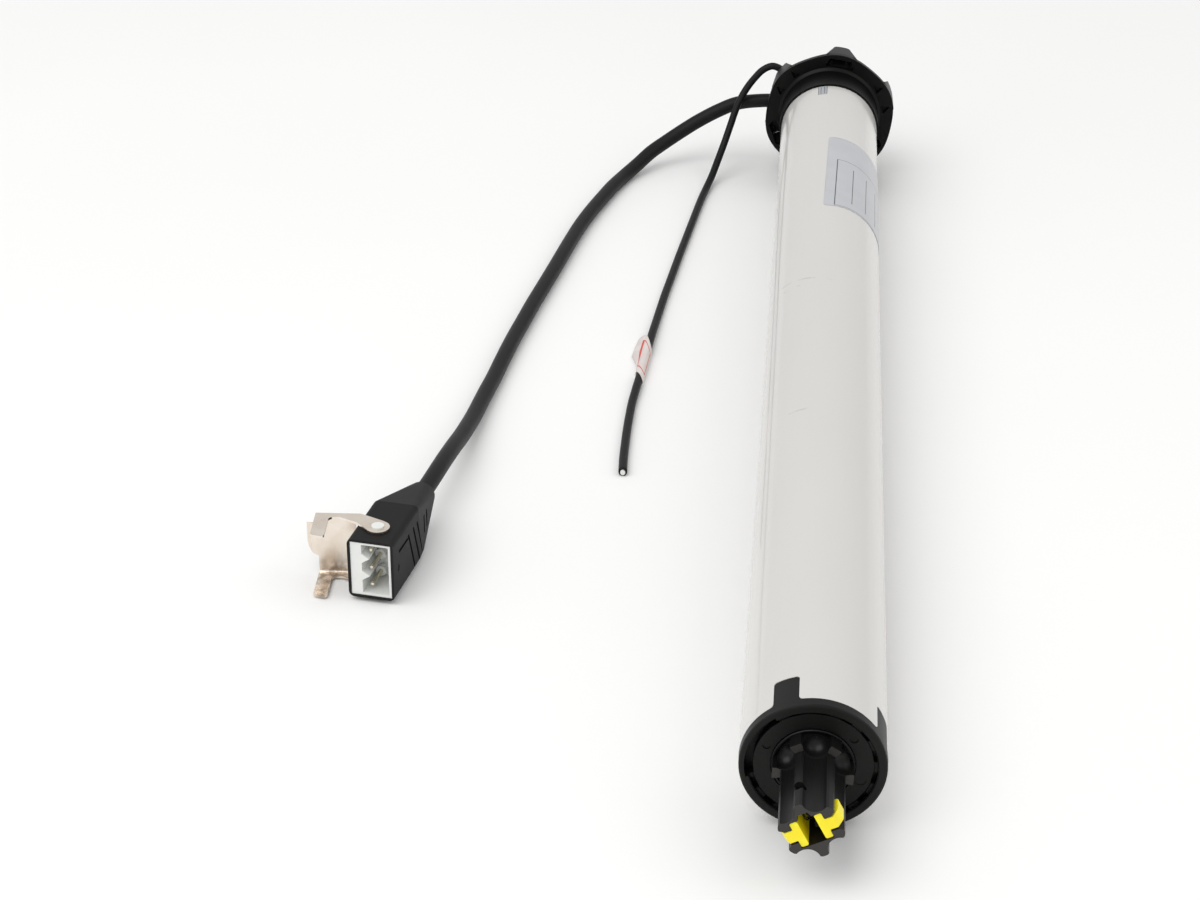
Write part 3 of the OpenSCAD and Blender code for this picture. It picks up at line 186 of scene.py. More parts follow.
# plain finishes: cloud and grain are a noise's scale, detail and stretch;
# roughness is rough plus spread times the cloud, and dent is the strength of the bump
plainLooks = {
    "blackMoulding": {
        "cloud": (60, 4), "band": (0.3, 0.75), "colours": ((14, 14, 13), (19, 19, 18)),
        "rough": 0.36, "spread": 0.16, "grain": (2600, 2), "dent": 0.1,
        "sockets": {"Specular IOR Level": 0.2},
        "pieces": ["end_cap", "head_body", "head_cover", "board_carrier", "relay_block",
                   "mains_gland", "antenna_gland"],
    },
    "plugRubber": {
        "cloud": (80, 4), "band": (0.3, 0.75), "colours": ((24, 24, 24), (30, 30, 30)),
        "rough": 0.5, "spread": 0.14, "grain": (2200, 3), "dent": 0.12,
        "sockets": {"Specular IOR Level": 0.16},
        "pieces": ["plug_body"],
    },
    "cordJacket": {
        "cloud": (45, 4), "band": (0.3, 0.75), "colours": ((16, 16, 17), (21, 21, 22)),
        "rough": 0.42, "spread": 0.14, "grain": (1900, 2), "dent": 0.08,
        "sockets": {"Specular IOR Level": 0.2},
    },
    "yellowNylon": {
        "cloud": (220, 3), "band": (0.3, 0.75), "colours": ((255, 244, 34), (255, 231, 16)),
        "rough": 0.28, "spread": 0.15, "grain": (2400, 2), "dent": 0.08,
        "sockets": {"Subsurface Weight": 0.08, "Subsurface Radius": (0.002, 0.0015, 0.0003),
                    "Subsurface Scale": 0.5},
        "pieces": ["jaw_right", "jaw_left"],
    },
    "whiteNylon": {
        "cloud": (160, 3), "band": (0.3, 0.8), "colours": ((230, 231, 228), (221, 223, 220)),
        "rough": 0.36, "spread": 0.12, "grain": (2000, 2), "dent": 0.06,
        "pieces": ["plug_insert", "antenna_core"],
    },
    "greyMoulding": {
        "cloud": (120, 4), "band": (0.3, 0.75), "colours": ((176, 179, 182), (160, 163, 167)),
        "rough": 0.35, "spread": 0.15, "grain": (1800, 2), "dent": 0.08,
        "pieces": ["tube_lock_ring", "capacitor", "terminal_block"],
    },
    "brightPin": {
        "cloud": (900, 2, (1, 0.1, 1)), "band": (0.3, 0.7), "colours": ((228, 222, 204), (202, 194, 172)),
        "rough": 0.16, "spread": 0.15, "sockets": {"Metallic": 1.0},
        "pieces": ["contact_pins"],
    },
    # the jaw spring: darkened as painted shade, so that it sits dim in the jaws' pocket
    "springPaintedShade": {
        "cloud": (500, 3), "band": (0.3, 0.7), "colours": ((46, 43, 40), (62, 58, 54)),
        "rough": 0.4, "spread": 0.2, "sockets": {"Metallic": 0.8},
    },
    "machinedSteel": {
        "cloud": (700, 2, (1, 0.2, 1)), "band": (0.3, 0.7), "colours": ((190, 190, 190), (158, 158, 160)),
        "rough": 0.22, "spread": 0.2, "sockets": {"Metallic": 1.0},
        "pieces": ["output_carrier", "second_carrier", "first_carrier", "motor_pinion", "planet_pins_1",
                   "planet_pins_2", "planet_pins_3", "front_bearing", "rear_bearing", "rotor_shaft",
                   "rotor_core", "stator_core", "brake_disc", "brake_plate", "brake_spring", "cover_screws"],
    },
    "sinteredBronze": {
        "cloud": (1600, 3), "band": (0.35, 0.65), "colours": ((190, 150, 92), (150, 112, 62)),
        "rough": 0.35, "spread": 0.2, "dent": 0.15, "sockets": {"Metallic": 1.0},
        "pieces": ["output_bush"] + [f"planet_{stage}{spot}" for stage in (1, 2, 3) for spot in "abc"],
    },
    "castAlloy": {
        "cloud": (70, 3), "band": (0.3, 0.7), "colours": ((176, 176, 176), (150, 150, 152)),
        "rough": 0.42, "spread": 0.15, "grain": (900, 4), "dent": 0.2, "depth": 0.0003,
        "sockets": {"Metallic": 1.0},
        "pieces": ["gear_housing", "front_shield", "rear_shield", "brake_housing"],
    },
    "boardLacquer": {
        "cloud": (140, 0, (1, 0.3, 1)), "band": (0.47, 0.5), "colours": ((28, 92, 48), (44, 120, 62)),
        "rough": 0.25, "spread": 0.1, "dent": 0.1, "depth": 0.0001,
        "pieces": ["circuit_board"],
    },
}


def plainFinish(look):
    # clouds mix two colours and vary the roughness; the grain, or else the clouds, dent the surface
    def build(wire):
        cloud = noise(wire, *look["cloud"])
        sockets = {"Base Color": cloud.mottle(look["band"], look["colours"]),
                   "Roughness": cloud * look["spread"] + look["rough"]}
        if "dent" in look:
            grain = noise(wire, *look["grain"]) if "grain" in look else cloud
            sockets["Normal"] = bump(wire, grain, look["dent"], look.get("depth", grainDepth))
        return sockets | look.get("sockets", {})
    return build


# the tube's paint; a rub is its station in mm, its lean in mm for each degree, its first and last degree
tubeLook = {
    "cloud": (22, 4, (1, 0.25, 1)), "band": (0.3, 0.7), "colours": ((204, 202, 199), (208, 206, 202)),
    "speck": (1500, 2), "speckStops": ((0.66, 0), (0.76, 0.3)), "speckColour": (192, 190, 187),
    "rubs": [(260.3, 0.13, 84, 141), (261.6, 0.12, 117, 138),
             (369.6, 0.02, 99, 123), (551.6, 0.0, 152, 166)],
    "rubWidth": 0.8, "rubColour": (158, 150, 140),
    "rubGaps": (190, 2), "rubStops": ((0.44, 0), (0.6, 0.5)),
    "rough": 0.22, "spread": 0.06, "dent": 0.02, "coat": 0.45, "coatRough": 0.04,
}


def tubePaint(wire):
    # grey paint; a rub is darkest on its line and gone at its width, in broken lengths
    cloud = noise(wire, *tubeLook["cloud"])
    speck = noise(wire, *tubeLook["speck"])
    place = placeOf(wire)
    station = stationOf(wire)
    turn = wire.maths("DEGREES", wire.maths("ARCTAN2", place.split(2), place.split(0)))
    rub = station * 0
    for at, lean, first, last in tubeLook["rubs"]:
        away = abs(station + (turn - first) * lean - at) / tubeLook["rubWidth"]
        rub = rub + wire.maths("MAXIMUM", 1 - away, 0.0) * turn.within(first, last)
    rub = rub * noise(wire, *tubeLook["rubGaps"]).ramp(*tubeLook["rubStops"])
    paint = cloud.mottle(tubeLook["band"], tubeLook["colours"])
    paint = speck.ramp(*tubeLook["speckStops"]).blend(paint, rgb(*tubeLook["speckColour"]))
    return {
        "Base Color": rub.blend(paint, rgb(*tubeLook["rubColour"])),
        "Roughness": cloud * tubeLook["spread"] + tubeLook["rough"],
        "Normal": bump(wire, speck, tubeLook["dent"]),
        "Coat Weight": tubeLook["coat"],
        "Coat Roughness": tubeLook["coatRough"],
    }


# the crown: its flange ends and its lug ring begins at a station in mm; the lug ring is painted paler, as
# painted light from above
crownLook = {
    "cloud": (60, 4), "band": (0.3, 0.75), "flange": ((8, 8, 8), (12, 12, 11)), "lugs": (46, 45, 46),
    "flangeBack": 23.0, "grain": (2600, 2), "rough": 0.3, "spread": 0.14, "dent": 0.08, "specular": 0.15,
}


def crownMoulding(wire):
    # glossy black flange; behind it the lug ring, painted paler as painted light from above
    cloud = noise(wire, *crownLook["cloud"])
    flange = cloud.mottle(crownLook["band"], crownLook["flange"])
    # painted light: the lug ring behind the flange gets a paler colour
    lugs = stationOf(wire).below(crownLook["flangeBack"])
    return {
        "Base Color": lugs.blend(flange, rgb(*crownLook["lugs"])),
        "Roughness": cloud * crownLook["spread"] + crownLook["rough"],
        "Normal": bump(wire, noise(wire, *crownLook["grain"]), crownLook["dent"]),
        "Specular IOR Level": crownLook["specular"],
    }


# the drive shaft: its end faces are found by their stations in mm, as near as faceNear, and are painted
# paler as painted light
shaftLook = {
    "streak": (90, 4, (1, 0.15, 1)), "band": (0.35, 0.8), "flank": ((16, 16, 16), (23, 23, 22)),
    "faces": (56, 54, 52), "tip": 590.0, "padEnd": 563.4, "faceNear": 0.1,
    "grain": (1500, 3), "rough": 0.26, "spread": 0.2, "dent": 0.1, "specular": 0.26,
}


def shaftNylon(wire):
    # streaked along the shaft; its end faces painted paler, as painted light
    streak = noise(wire, *shaftLook["streak"])
    flank = streak.mottle(shaftLook["band"], shaftLook["flank"])
    station, near = stationOf(wire), shaftLook["faceNear"]
    # painted light: the tip and the pads' end faces get a paler colour
    faces = station.above(shaftLook["tip"] - near) + abs(station - shaftLook["padEnd"]).below(near)
    return {
        "Base Color": faces.blend(flank, rgb(*shaftLook["faces"])),
        "Roughness": streak * shaftLook["spread"] + shaftLook["rough"],
        "Normal": bump(wire, noise(wire, *shaftLook["grain"]), shaftLook["dent"]),
        "Specular IOR Level": shaftLook["specular"],
    }


# the locking clip: a painted reflection of the plug and table, as brown blotches, fades out between two
# heights over the table, in mm
clipLook = {
    "cloud": (130, 5), "band": (0.35, 0.7), "plate": ((240, 231, 220), (228, 214, 199)),
    "paintedReflection": (260, 5), "paintedReflectionStops": ((0.44, 0), (0.62, 0.65)), "paintedReflectionColour": (134, 116, 98),
    "paintedReflectionFull": 3.5, "paintedReflectionGone": 8.5, "streak": (700, 2, (1, 1, 0.06)),
    "rough": 0.14, "cloudSpread": 0.12, "streakSpread": 0.1, "dent": 0.05,
}


def springSheet(wire):
    # nickel-plated sheet, with a painted reflection of the plug and table as brown blotches near the table
    cloud = noise(wire, *clipLook["cloud"])
    streak = noise(wire, *clipLook["streak"])
    low = wire.node("MapRange", links={
        "Value": overTable(wire), "From Min": clipLook["paintedReflectionFull"], "From Max": clipLook["paintedReflectionGone"],
        "To Min": 1.0, "To Max": 0.0})
    # painted reflection: brown blotches, strongest nearest the table
    paintedReflection = noise(wire, *clipLook["paintedReflection"]).ramp(*clipLook["paintedReflectionStops"]) * low
    plate = cloud.mottle(clipLook["band"], clipLook["plate"])
    worn = streak * clipLook["streakSpread"] + cloud * clipLook["cloudSpread"]
    return {
        "Base Color": paintedReflection.blend(plate, rgb(*clipLook["paintedReflectionColour"])),
        "Metallic": 1.0,
        "Roughness": worn + clipLook["rough"],
        "Normal": bump(wire, streak, clipLook["dent"]),
    }


# the windings, the brake's coil and the supply leads
copperLook = {
    "strands": 550.0, "wobble": 0.6, "band": (0.1, 0.9), "colours": ((120, 58, 26), (206, 120, 66)),
    "metallic": 0.9, "rough": 0.25, "spread": 0.15, "dent": 0.4, "depth": 0.0003,
}


def copperWire(wire):
    # strands side by side along the tube, as bands of a wave
    strand = wire.node("TexWave", {"wave_type": "BANDS", "bands_direction": "Y"}, {
        "Vector": placeOf(wire), "Scale": copperLook["strands"], "Distortion": copperLook["wobble"]})
    return {
        "Base Color": strand.mottle(copperLook["band"], copperLook["colours"]),
        "Metallic": copperLook["metallic"],
        "Roughness": strand * copperLook["spread"] + copperLook["rough"],
        "Normal": bump(wire, strand, copperLook["dent"], copperLook["depth"]),
    }


finishes = {name: (plainFinish(look), look.get("pieces", [])) for name, look in plainLooks.items()}
finishes |= {
    "tubePaint": (tubePaint, ["tube"]),
    "crownMoulding": (crownMoulding, ["crown"]),
    "shaftNylon": (shaftNylon, ["drive_shaft"]),
    "springSheet": (springSheet, ["locking_clip"]),
    "copperWire": (copperWire, ["stator_windings", "brake_coil", "supply_leads"]),
}
materials = {}
for finishName, (build, members) in finishes.items():
    materials[finishName] = finishNamed(finishName, build)
    for member in members:
        nodes[member].data.materials.clear()
        nodes[member].data.materials.append(materials[finishName])
print("finishes made:", len(materials))


def meshPiece(name, points, faces, material, body="motor", uv=None):
    # a finished piece from points in millimetres and lists of faces, riding on a body where one is named
    mesh = bpy.data.meshes.new(name)
    mesh.from_pydata((points * mm).tolist(), [], faces)
    mesh.polygons.foreach_set("use_smooth", np.ones(len(mesh.polygons), bool))
    if uv is not None:
        layer = mesh.uv_layers.new(name="UVMap")
        corners = np.zeros(len(mesh.loops), int)
        mesh.loops.foreach_get("vertex_index", corners)
        layer.data.foreach_set("uv", uv[corners].astype(np.float32).ravel())
    mesh.materials.append(material)
    mesh.validate()
    mesh.update()
    piece = bpy.data.objects.new(name, mesh)
    scene.collection.objects.link(piece)
    if body:
        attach(piece, body)
    return piece


def gridFaces(rows, columns, closed=True):
    # quads between neighbouring rows and columns, wrapped round where the columns close
    spans = columns if closed else columns - 1
    row, column = np.meshgrid(np.arange(rows - 1), np.arange(spans), indexing="ij")
    after = (column + 1) % columns
    return np.stack([row * columns + column, row * columns + after,
                     (row + 1) * columns + after, (row + 1) * columns + column], -1).reshape(-1, 4)


def tubeFaces(rows, sides):
    # a closed grid with a flat cap of one polygon at each end
    caps = [list(range(sides))[::-1], list(range((rows - 1) * sides, rows * sides))]
    return [*gridFaces(rows, sides).tolist(), *caps]


def rimFaces(edge, count):
    # quads from a closed line on the outer skin to the same line on the inner skin, count points on
    after = np.roll(edge, -1)
    return np.stack([edge, edge + count, after + count, after], -1)


def sheetFaces(grid, count, *rims):
    # an outer skin, the inner skin turned over, and the rims that join them
    return np.concatenate([grid, grid[:, ::-1] + count, *rims]).tolist()


# the plug and the two cords, in millimetres and degrees; the cords follow the same points as their solids
plug = {
    "turn": -9.7, "x": -154.1, "y": -440.4, "lift": 1.6, "height": 22.9, "length": 57.0,
    "bore": 6.0, "lead": 8.0, "pieces": ("plug_body", "plug_insert", "contact_pins", "locking_clip"),
}
mains = {
    "free": [[-18, -7.5, 0], [-33, -7.5, 0], [-46, -8, -2], [-54, -9, -5.4], [-62.7, -11, -9.8],
             [-72, -14, -15.2], [-79.2, -18, -19.2], [-85.5, -23, -22.4], [-91, -30.5, -25.4]],
    "laid": [[-97, -42, 0], [-101.5, -56, 0], [-105.5, -72, 0], [-109.2, -88, 0], [-112.5, -105, 0],
             [-115.2, -123, 0], [-117.6, -141, 0], [-120, -159, 0], [-122.5, -177, 0], [-125, -195, 0],
             [-127.2, -213, 0], [-129.4, -231, 0], [-131.2, -249, 0], [-132.8, -267, 0],
             [-134.2, -281, 0.4], [-135.2, -293, 0.9], [-136, -305, 1.8], [-136.9, -317, 3.2],
             [-137.8, -329, 5], [-138.9, -341, 7], [-140.1, -353, 8.6]],
    "radius": 3.3, "sides": 28, "step": 1.6,
}
antenna = {
    "at": 8.0, "turn": 145, "outlet": (16, 27),
    "free": [[-28.6, -8, 18], [-32.6, -8.4, 16.2], [-36.6, -9.4, 12.2], [-40.6, -11.4, 7],
             [-44.2, -15, 0.6], [-47.4, -20.5, -8.2], [-50, -26, -15.4], [-52.6, -32.5, -21.6],
             [-55, -41, -26.4]],
    "laid": [[-57.2, -52, 0.4], [-58.8, -64, 0], [-60.1, -77, 0], [-61.4, -91, 0], [-62.8, -106, 0],
             [-64.1, -120, 0], [-65.4, -134, 0], [-66.6, -148, 0], [-67.8, -162, 0], [-69, -176, 0],
             [-70, -190, 0], [-70.9, -204, 0.2], [-71.7, -217, 0.5], [-72.4, -230, 0.5],
             [-73.1, -243, 0.5], [-73.8, -256, 0.5], [-74.6, -269, 0.3], [-75.3, -281, 0],
             [-75.5, -293, 0], [-75.5, -305, 0], [-75.3, -317, 0], [-75, -329, 0], [-74.4, -340, 0]],
    "radius": 1.7, "sides": 20, "step": 1.2,
}


def plugPoints(points):
    # the plug's own right, back and up from its lower front edge: turned, tilted with the table, moved
    turn = math.radians(plug["turn"])
    x, y, z = np.asarray(points, float).T
    z = z + plug["lift"]
    across = x * math.cos(turn) - y * math.sin(turn)
    back = x * math.sin(turn) + y * math.cos(turn)
    return np.stack([plug["x"] + across, plug["y"] + back * math.cos(tilt) + z * math.sin(tilt),
                     surfaceHeight(plug["y"]) - back * math.sin(tilt) + z * math.cos(tilt)], -1)


def laidPoints(cord):
    # points on the table: their own height is over the table plus the cord's radius
    points = np.array(cord["laid"], float)
    points[:, 2] += surfaceHeight(points[:, 1]) + cord["radius"]
    return points


def wayAlong(points):
    # length of a route from its start to each of its points
    return np.concatenate([[0], np.cumsum(np.linalg.norm(np.diff(points, axis=0), axis=1))])


def smoothRoute(points, step):
    # a Catmull-Rom curve through the points, with chord lengths as its knots, cut into even steps
    knots = wayAlong(points)
    slopes = np.gradient(points, knots, axis=0)
    places = np.linspace(0, knots[-1], max(int(knots[-1] / step), 2) + 1)
    span = np.clip(np.searchsorted(knots, places, side="right") - 1, 0, len(knots) - 2)
    width = (knots[span + 1] - knots[span])[:, None]
    t = (places - knots[span])[:, None] / width
    return ((1 + 2 * t) * (1 - t) ** 2 * points[span] + t * (1 - t) ** 2 * width * slopes[span]
            + t ** 2 * (3 - 2 * t) * points[span + 1] + t ** 2 * (t - 1) * width * slopes[span + 1])


def routeSides(route):
    # unit vectors level to one side of a route and square over it, at each of its points
    ahead = np.gradient(route, axis=0)
    ahead /= np.linalg.norm(ahead, axis=1)[:, None]
    right = np.cross([0.0, 0.0, 1.0], ahead)
    right /= np.linalg.norm(right, axis=1)[:, None]
    return right, np.cross(ahead, right)


def circleRound(turn, right, over):
    # unit circles in the planes of two sets of vectors
    return np.cos(turn)[None, :, None] * right + np.sin(turn)[None, :, None] * over


def jacketPoints(route, cord):
    # a circle carried square to a route
    right, over = routeSides(route)
    turn = np.linspace(0, 2 * math.pi, cord["sides"], endpoint=False)
    ring = circleRound(turn, right[:, None], over[:, None])
    return (route[:, None] + cord["radius"] * ring).reshape(-1, 3)


plugMiddle = plug["height"] / 2
mainsEnd = plugPoints([[0, plug["length"] + back, plugMiddle]
                       for back in (plug["lead"], 0, -plug["bore"])])
mainsRoute = smoothRoute(np.concatenate([mains["free"], laidPoints(mains), mainsEnd]), mains["step"])
outlet = math.radians(antenna["turn"])
antennaStart = [[r * math.cos(outlet), -antenna["at"], r * math.sin(outlet)] for r in antenna["outlet"]]
antennaRoute = smoothRoute(np.concatenate([antennaStart, antenna["free"], laidPoints(antenna)]),
                           antenna["step"])

mainsCord = meshPiece("mains_cord_jacket", jacketPoints(mainsRoute, mains),
                      tubeFaces(len(mainsRoute), mains["sides"]), materials["cordJacket"])
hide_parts("mains_cord")
mainsRoute[0] * mm
mainsRoute * mm
antennaCord = meshPiece("antenna_cord_jacket", jacketPoints(antennaRoute, antenna),
                        tubeFaces(len(antennaRoute), antenna["sides"]), materials["cordJacket"])
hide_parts("antenna_cord")

# the rating label: a film with lines and no words, in millimetres along the tube and degrees round it
label = {
    "from": 109.0, "to": 186.0, "top": 92.5, "low": -21.9, "skew": 1.3, "corner": 2.0,
    "lift": 0.14, "underside": 0.02, "rows": 120, "columns": 120,
    "frame": (134.3, 185.0, 81.0, -16.0), "frameTop": 0.55, "frameSide": 0.16,
    "rules": (61.6, 43.0, 24.5, 6.0), "ruled": (141.0, 179.0), "ruleWidth": 0.45, "ink": (74, 74, 78),
    "cloud": (90, 3), "band": (0.3, 0.7), "film": ((187, 188, 192), (193, 194, 198)),
    "rough": 0.3, "spread": 0.1, "metallic": 0.15,
}


def labelFilm(wire):
    # ink where the map's millimetres along (u) and degrees round (v) fall on a line
    place = wire.node("UVMap")
    along, turn = place.split(0), place.split(1)
    low, high, top, bottom = label["frame"]
    sides = abs(along - low).below(label["frameSide"]) + abs(along - high).below(label["frameSide"])
    ink = abs(turn - top).below(label["frameTop"]) * along.within(low, high)
    ink = ink + sides * turn.within(bottom, top)
    for rule in label["rules"]:
        ink = ink + abs(turn - rule).below(label["ruleWidth"]) * along.within(*label["ruled"])
    cloud = noise(wire, *label["cloud"])
    film = cloud.mottle(label["band"], label["film"])
    return {
        "Base Color": wire.maths("MINIMUM", ink, 1.0).blend(film, rgb(*label["ink"])),
        "Roughness": cloud * label["spread"] + label["rough"],
        "Metallic": label["metallic"],
    }


def labelPoints(lift):
    # a patch of cylinder whose rows draw in near both ends, so that its corners are round
    along = np.linspace(label["from"], label["to"], label["rows"])
    depth = np.minimum(np.minimum(along - label["from"], label["to"] - along), label["corner"])
    drawn = label["corner"] - np.sqrt(label["corner"] ** 2 - (label["corner"] - depth) ** 2)
    drawn = np.degrees(drawn / motor["tubeRadius"])
    skew = math.tan(math.radians(label["skew"])) * (along - along.mean())
    skew = np.degrees(skew / motor["tubeRadius"])
    first, last = (label["top"] - drawn)[:, None], (label["low"] + drawn)[:, None]
    turn = first + (last - first) * np.linspace(0, 1, label["columns"])[None, :]
    angle = np.radians(turn + skew[:, None])
    radius = motor["tubeRadius"] + lift
    along = np.broadcast_to(along[:, None], angle.shape)
    points = np.stack([radius * np.cos(angle), -along, radius * np.sin(angle)], -1).reshape(-1, 3)
    return points, np.stack([along, turn], -1).reshape(-1, 2)


materials["labelFilm"] = finishNamed("labelFilm", labelFilm)
labelOutside, labelMap = labelPoints(label["lift"])
labelInside, labelMapInside = labelPoints(label["underside"])
rows, columns = label["rows"], label["columns"]
labelEdge = np.concatenate([
    np.arange(columns), np.arange(1, rows) * columns + columns - 1,
    (rows - 1) * columns + np.arange(columns - 2, -1, -1), np.arange(rows - 2, 0, -1) * columns])
labelFaces = sheetFaces(gridFaces(rows, columns, closed=False), rows * columns,
                        rimFaces(labelEdge, rows * columns))
labelSkins = np.concatenate([labelOutside, labelInside])
labelPiece = meshPiece("rating_label_film", labelSkins, labelFaces, materials["labelFilm"],
                       uv=np.concatenate([labelMap, labelMapInside]))
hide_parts("rating_label")
print("label laid")

# the marker flag: a sticker folded round the antenna cord, in millimetres along it and degrees round it
flag = {
    "start": -220.5, "length": 44.0, "spare": 1.1, "bore": 0.08, "sheet": 0.28, "rows": 70, "columns": 72,
    "startCut": (7.3, 7.3), "endCut": (39.6, 3.6), "flapTurn": 196.0, "flapHalf": 46.0, "flapPower": 1.7,
    "flapAt": (0.0, 8.0, 17.0, 25.0, 33.0, 44.0), "flapReach": (3.4, 4.1, 4.4, 1.3, 0.35, 0.1),
    "border": (0.14, 0.86, 18.0, 168.0), "line": (0.03, 13.0), "red": (205, 74, 66),
    "cloud": (150, 3), "band": (0.3, 0.75), "paper": ((222, 214, 210), (210, 200, 196)),
    "rough": 0.4, "spread": 0.15,
}


def flagPaper(wire):
    # a plain red border on white: lines at fixed shares of the length (u) and degrees round (v)
    place = wire.node("UVMap")
    along, turn = place.split(0), place.split(1)
    first, last, near, far = flag["border"]
    across, lengthways = flag["line"]
    border = along.within(first, last) * turn.within(near, far)
    field = along.within(first + across, last - across) * turn.within(near + lengthways, far - lengthways)
    cloud = noise(wire, *flag["cloud"])
    paper = cloud.mottle(flag["band"], flag["paper"])
    return {
        "Base Color": (border - field).blend(paper, rgb(*flag["red"])),
        "Roughness": cloud * flag["spread"] + flag["rough"],
    }


def flagPoints(route):
    # rings round the cord whose left side is drawn out into a flap; both ends are cut aslant
    way = wayAlong(route)
    turn = np.radians(np.linspace(0, 360, flag["columns"], endpoint=False))
    first, last = (middle + swing * np.cos(turn) for middle, swing in (flag["startCut"], flag["endCut"]))
    share = np.linspace(0, 1, flag["rows"])[:, None]
    along = first[None, :] + (last - first)[None, :] * share
    reach = np.interp(along, flag["flapAt"], flag["flapReach"])
    apart = np.abs(np.degrees(turn) - flag["flapTurn"])
    cusp = np.clip(1 - np.minimum(apart, 360 - apart) / flag["flapHalf"], 0, 1) ** flag["flapPower"]
    spot, right, over = (np.stack([np.interp(along, way, vectors[:, axis]) for axis in range(3)], -1)
                         for vectors in (route, *routeSides(route)))
    ring = circleRound(turn, right, over)
    inner = antenna["radius"] + flag["bore"]
    outer = inner + flag["sheet"] + reach * cusp[None, :]
    points = np.stack([spot + outer[..., None] * ring, spot + inner * ring]).reshape(-1, 3)
    flagMap = np.stack(np.broadcast_arrays(share, np.degrees(turn)[None, :]), -1).reshape(-1, 2)
    return points, np.concatenate([flagMap, flagMap])


materials["flagPaper"] = finishNamed("flagPaper", flagPaper)
begin = int(np.argmin(np.abs(antennaRoute[:, 1] - flag["start"])))
flagSteps = int(flag["length"] * flag["spare"] / antenna["step"])
flagSkins, flagMap = flagPoints(antennaRoute[begin:begin + flagSteps])
rows, columns = flag["rows"], flag["columns"]
flagEdge = np.arange(columns)
flagFaces = sheetFaces(gridFaces(rows, columns), rows * columns, rimFaces(flagEdge, rows * columns),
                       rimFaces((rows - 1) * columns + flagEdge, rows * columns)[:, ::-1])
flagPiece = meshPiece("marker_flag_sticker", flagSkins, flagFaces, materials["flagPaper"],
                      uv=flagMap)
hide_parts("marker_flag")
antennaRoute[0] * mm
antennaRoute * mm
print("flag folded")

# the spring between the jaws, in millimetres and degrees, made in two halves
spring = {
    "radius": 1.6, "wire": 0.25, "reach": 2.43, "turns": 4, "station": 581.0, "line": 27.0,
    "rows": 97, "sides": 12,
    "halves": {"jaw_spring_left": ("left jaw", 0, 0.5, -1), "jaw_spring_right": ("right jaw", 0.5, 1, 1)},
}


def springPoints(first, last):
    # a wire circle carried along a helix on the jaws' line, from one share of the whole coil to another
    turn = 2 * math.pi * spring["turns"] * np.linspace(first, last, spring["rows"])
    pitch = 2 * spring["reach"] / (2 * math.pi * spring["turns"])
    zero = np.zeros_like(turn)
    outwards = np.stack([zero, np.cos(turn), np.sin(turn)], -1)
    middle = spring["radius"] * outwards
    middle[:, 0] = pitch * turn - spring["reach"]
    ahead = spring["radius"] * np.stack([zero, -np.sin(turn), np.cos(turn)], -1)
    ahead[:, 0] = pitch
    across = np.cross(ahead / np.linalg.norm(ahead, axis=1)[:, None], outwards)
    side = np.linspace(0, 2 * math.pi, spring["sides"], endpoint=False)
    ring = circleRound(side, outwards[:, None], across[:, None])
    along, over, deep = np.moveaxis(middle[:, None] + spring["wire"] * ring, -1, 0)
    line = math.radians(spring["line"])
    return np.stack([along * math.cos(line) - over * math.sin(line), -spring["station"] - deep,
                     along * math.sin(line) + over * math.cos(line)], -1).reshape(-1, 3)


for springName, (jaw, first, last, way) in spring["halves"].items():
    half = meshPiece(springName, springPoints(first, last), tubeFaces(spring["rows"], spring["sides"]),
                     materials["springPaintedShade"], body=None)
    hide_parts("jaw_spring")
    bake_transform(half)
print("spring wound")

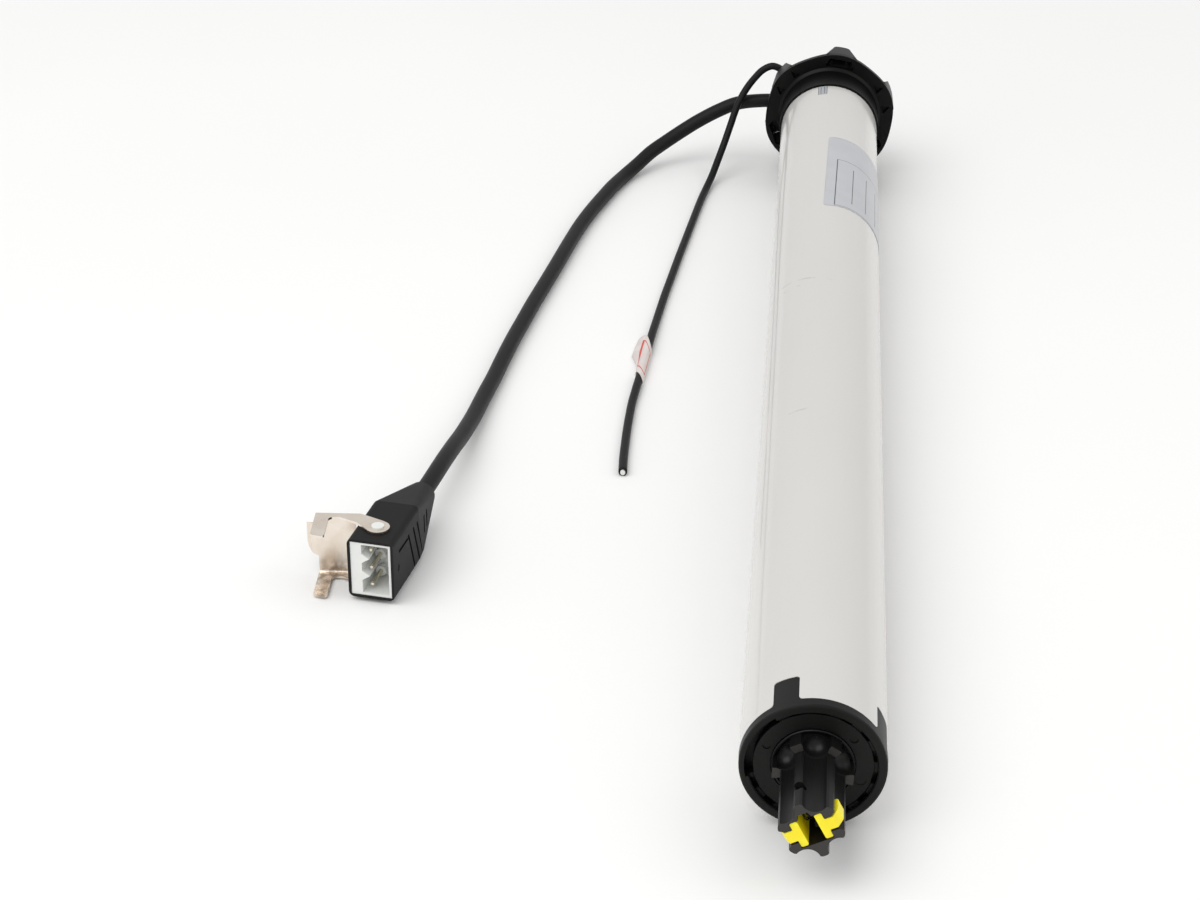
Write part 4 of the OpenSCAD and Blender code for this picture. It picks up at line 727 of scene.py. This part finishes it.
# camera: place and view as in the photograph; place, lens and sensor in millimetres, clipping in metres
view = {
    "place": (-8.851, -1191.310, 453.636),
    "ahead": (-0.07617, 0.87345, -0.48093),
    "right": (0.99622, 0.08688, 0.0),
    "up": (-0.04178, 0.47911, 0.87677),
    "lens": 77.14,
    "sensor": 36,
    "clip": (0.05, 40),
}
camera = bpy.data.objects.new("camera", bpy.data.cameras.new("camera"))
camera.data.lens = view["lens"]
camera.data.sensor_width = view["sensor"]
camera.data.sensor_fit = "HORIZONTAL"
camera.data.clip_start, camera.data.clip_end = view["clip"]
turned = Matrix((view["right"], view["up"], [-x for x in view["ahead"]])).transposed().to_4x4()
camera.matrix_world = Matrix.Translation([x * mm for x in view["place"]]) @ turned
scene.collection.objects.link(camera)
scene.camera = camera

# table and light, in metres and watts
studio = {
    "tableHalf": 7.0, "tableCloud": (3, 2), "tableBand": (0.3, 0.7), "tableRough": 0.6,
    "tableColours": ((244, 244, 243), (247, 247, 246)), "sky": 0.74,
    "key": {"place": (-0.9, -1.1, 1.7), "target": (0, -0.4, 0), "size": (1.8, 1.8), "power": 20},
    "fill": {"place": (1.5, -0.3, 1.4), "target": (0, -0.3, 0), "size": (1.4, 1.4), "power": 5},
}


def paleTable(wire):
    cloud = noise(wire, *studio["tableCloud"])
    colour = cloud.mottle(studio["tableBand"], studio["tableColours"])
    return {"Base Color": colour, "Roughness": studio["tableRough"]}


tableCorners = studio["tableHalf"] * np.array([[-1, -1, 0], [1, -1, 0], [1, 1, 0], [-1, 1, 0]], float)
tableCorners[:, 2] = surfaceHeight(tableCorners[:, 1] / mm) * mm
tableMesh = bpy.data.meshes.new("table")
tableMesh.from_pydata(tableCorners.tolist(), [], [(0, 1, 2, 3)])
tableMesh.materials.append(finishNamed("paleTable", paleTable))
table = bpy.data.objects.new("table", tableMesh)
scene.collection.objects.link(table)

world = bpy.data.worlds.new("studio")
world.use_nodes = True
world.node_tree.nodes["Background"].inputs["Color"].default_value = (1, 1, 1, 1)
world.node_tree.nodes["Background"].inputs["Strength"].default_value = studio["sky"]
scene.world = world
scene.view_settings.view_transform = "Standard"


def softbox(name, place, target, size, power):
    # a rectangle of light at a place, turned to its target
    light = bpy.data.objects.new(name, bpy.data.lights.new(name, "AREA"))
    light.data.shape = "RECTANGLE"
    light.data.size, light.data.size_y = size
    light.data.energy = power
    away = np.array(place, float) - np.array(target, float)
    away /= np.linalg.norm(away)
    side = np.cross([0.0, 1.0, 0.0], away)
    side /= np.linalg.norm(side)
    facing = Matrix((side, np.cross(away, side), away)).transposed().to_4x4()
    light.matrix_world = Matrix.Translation(place) @ facing
    scene.collection.objects.link(light)


for lightName in ("key", "fill"):
    softbox(lightName, **studio[lightName])
print("studio ready")
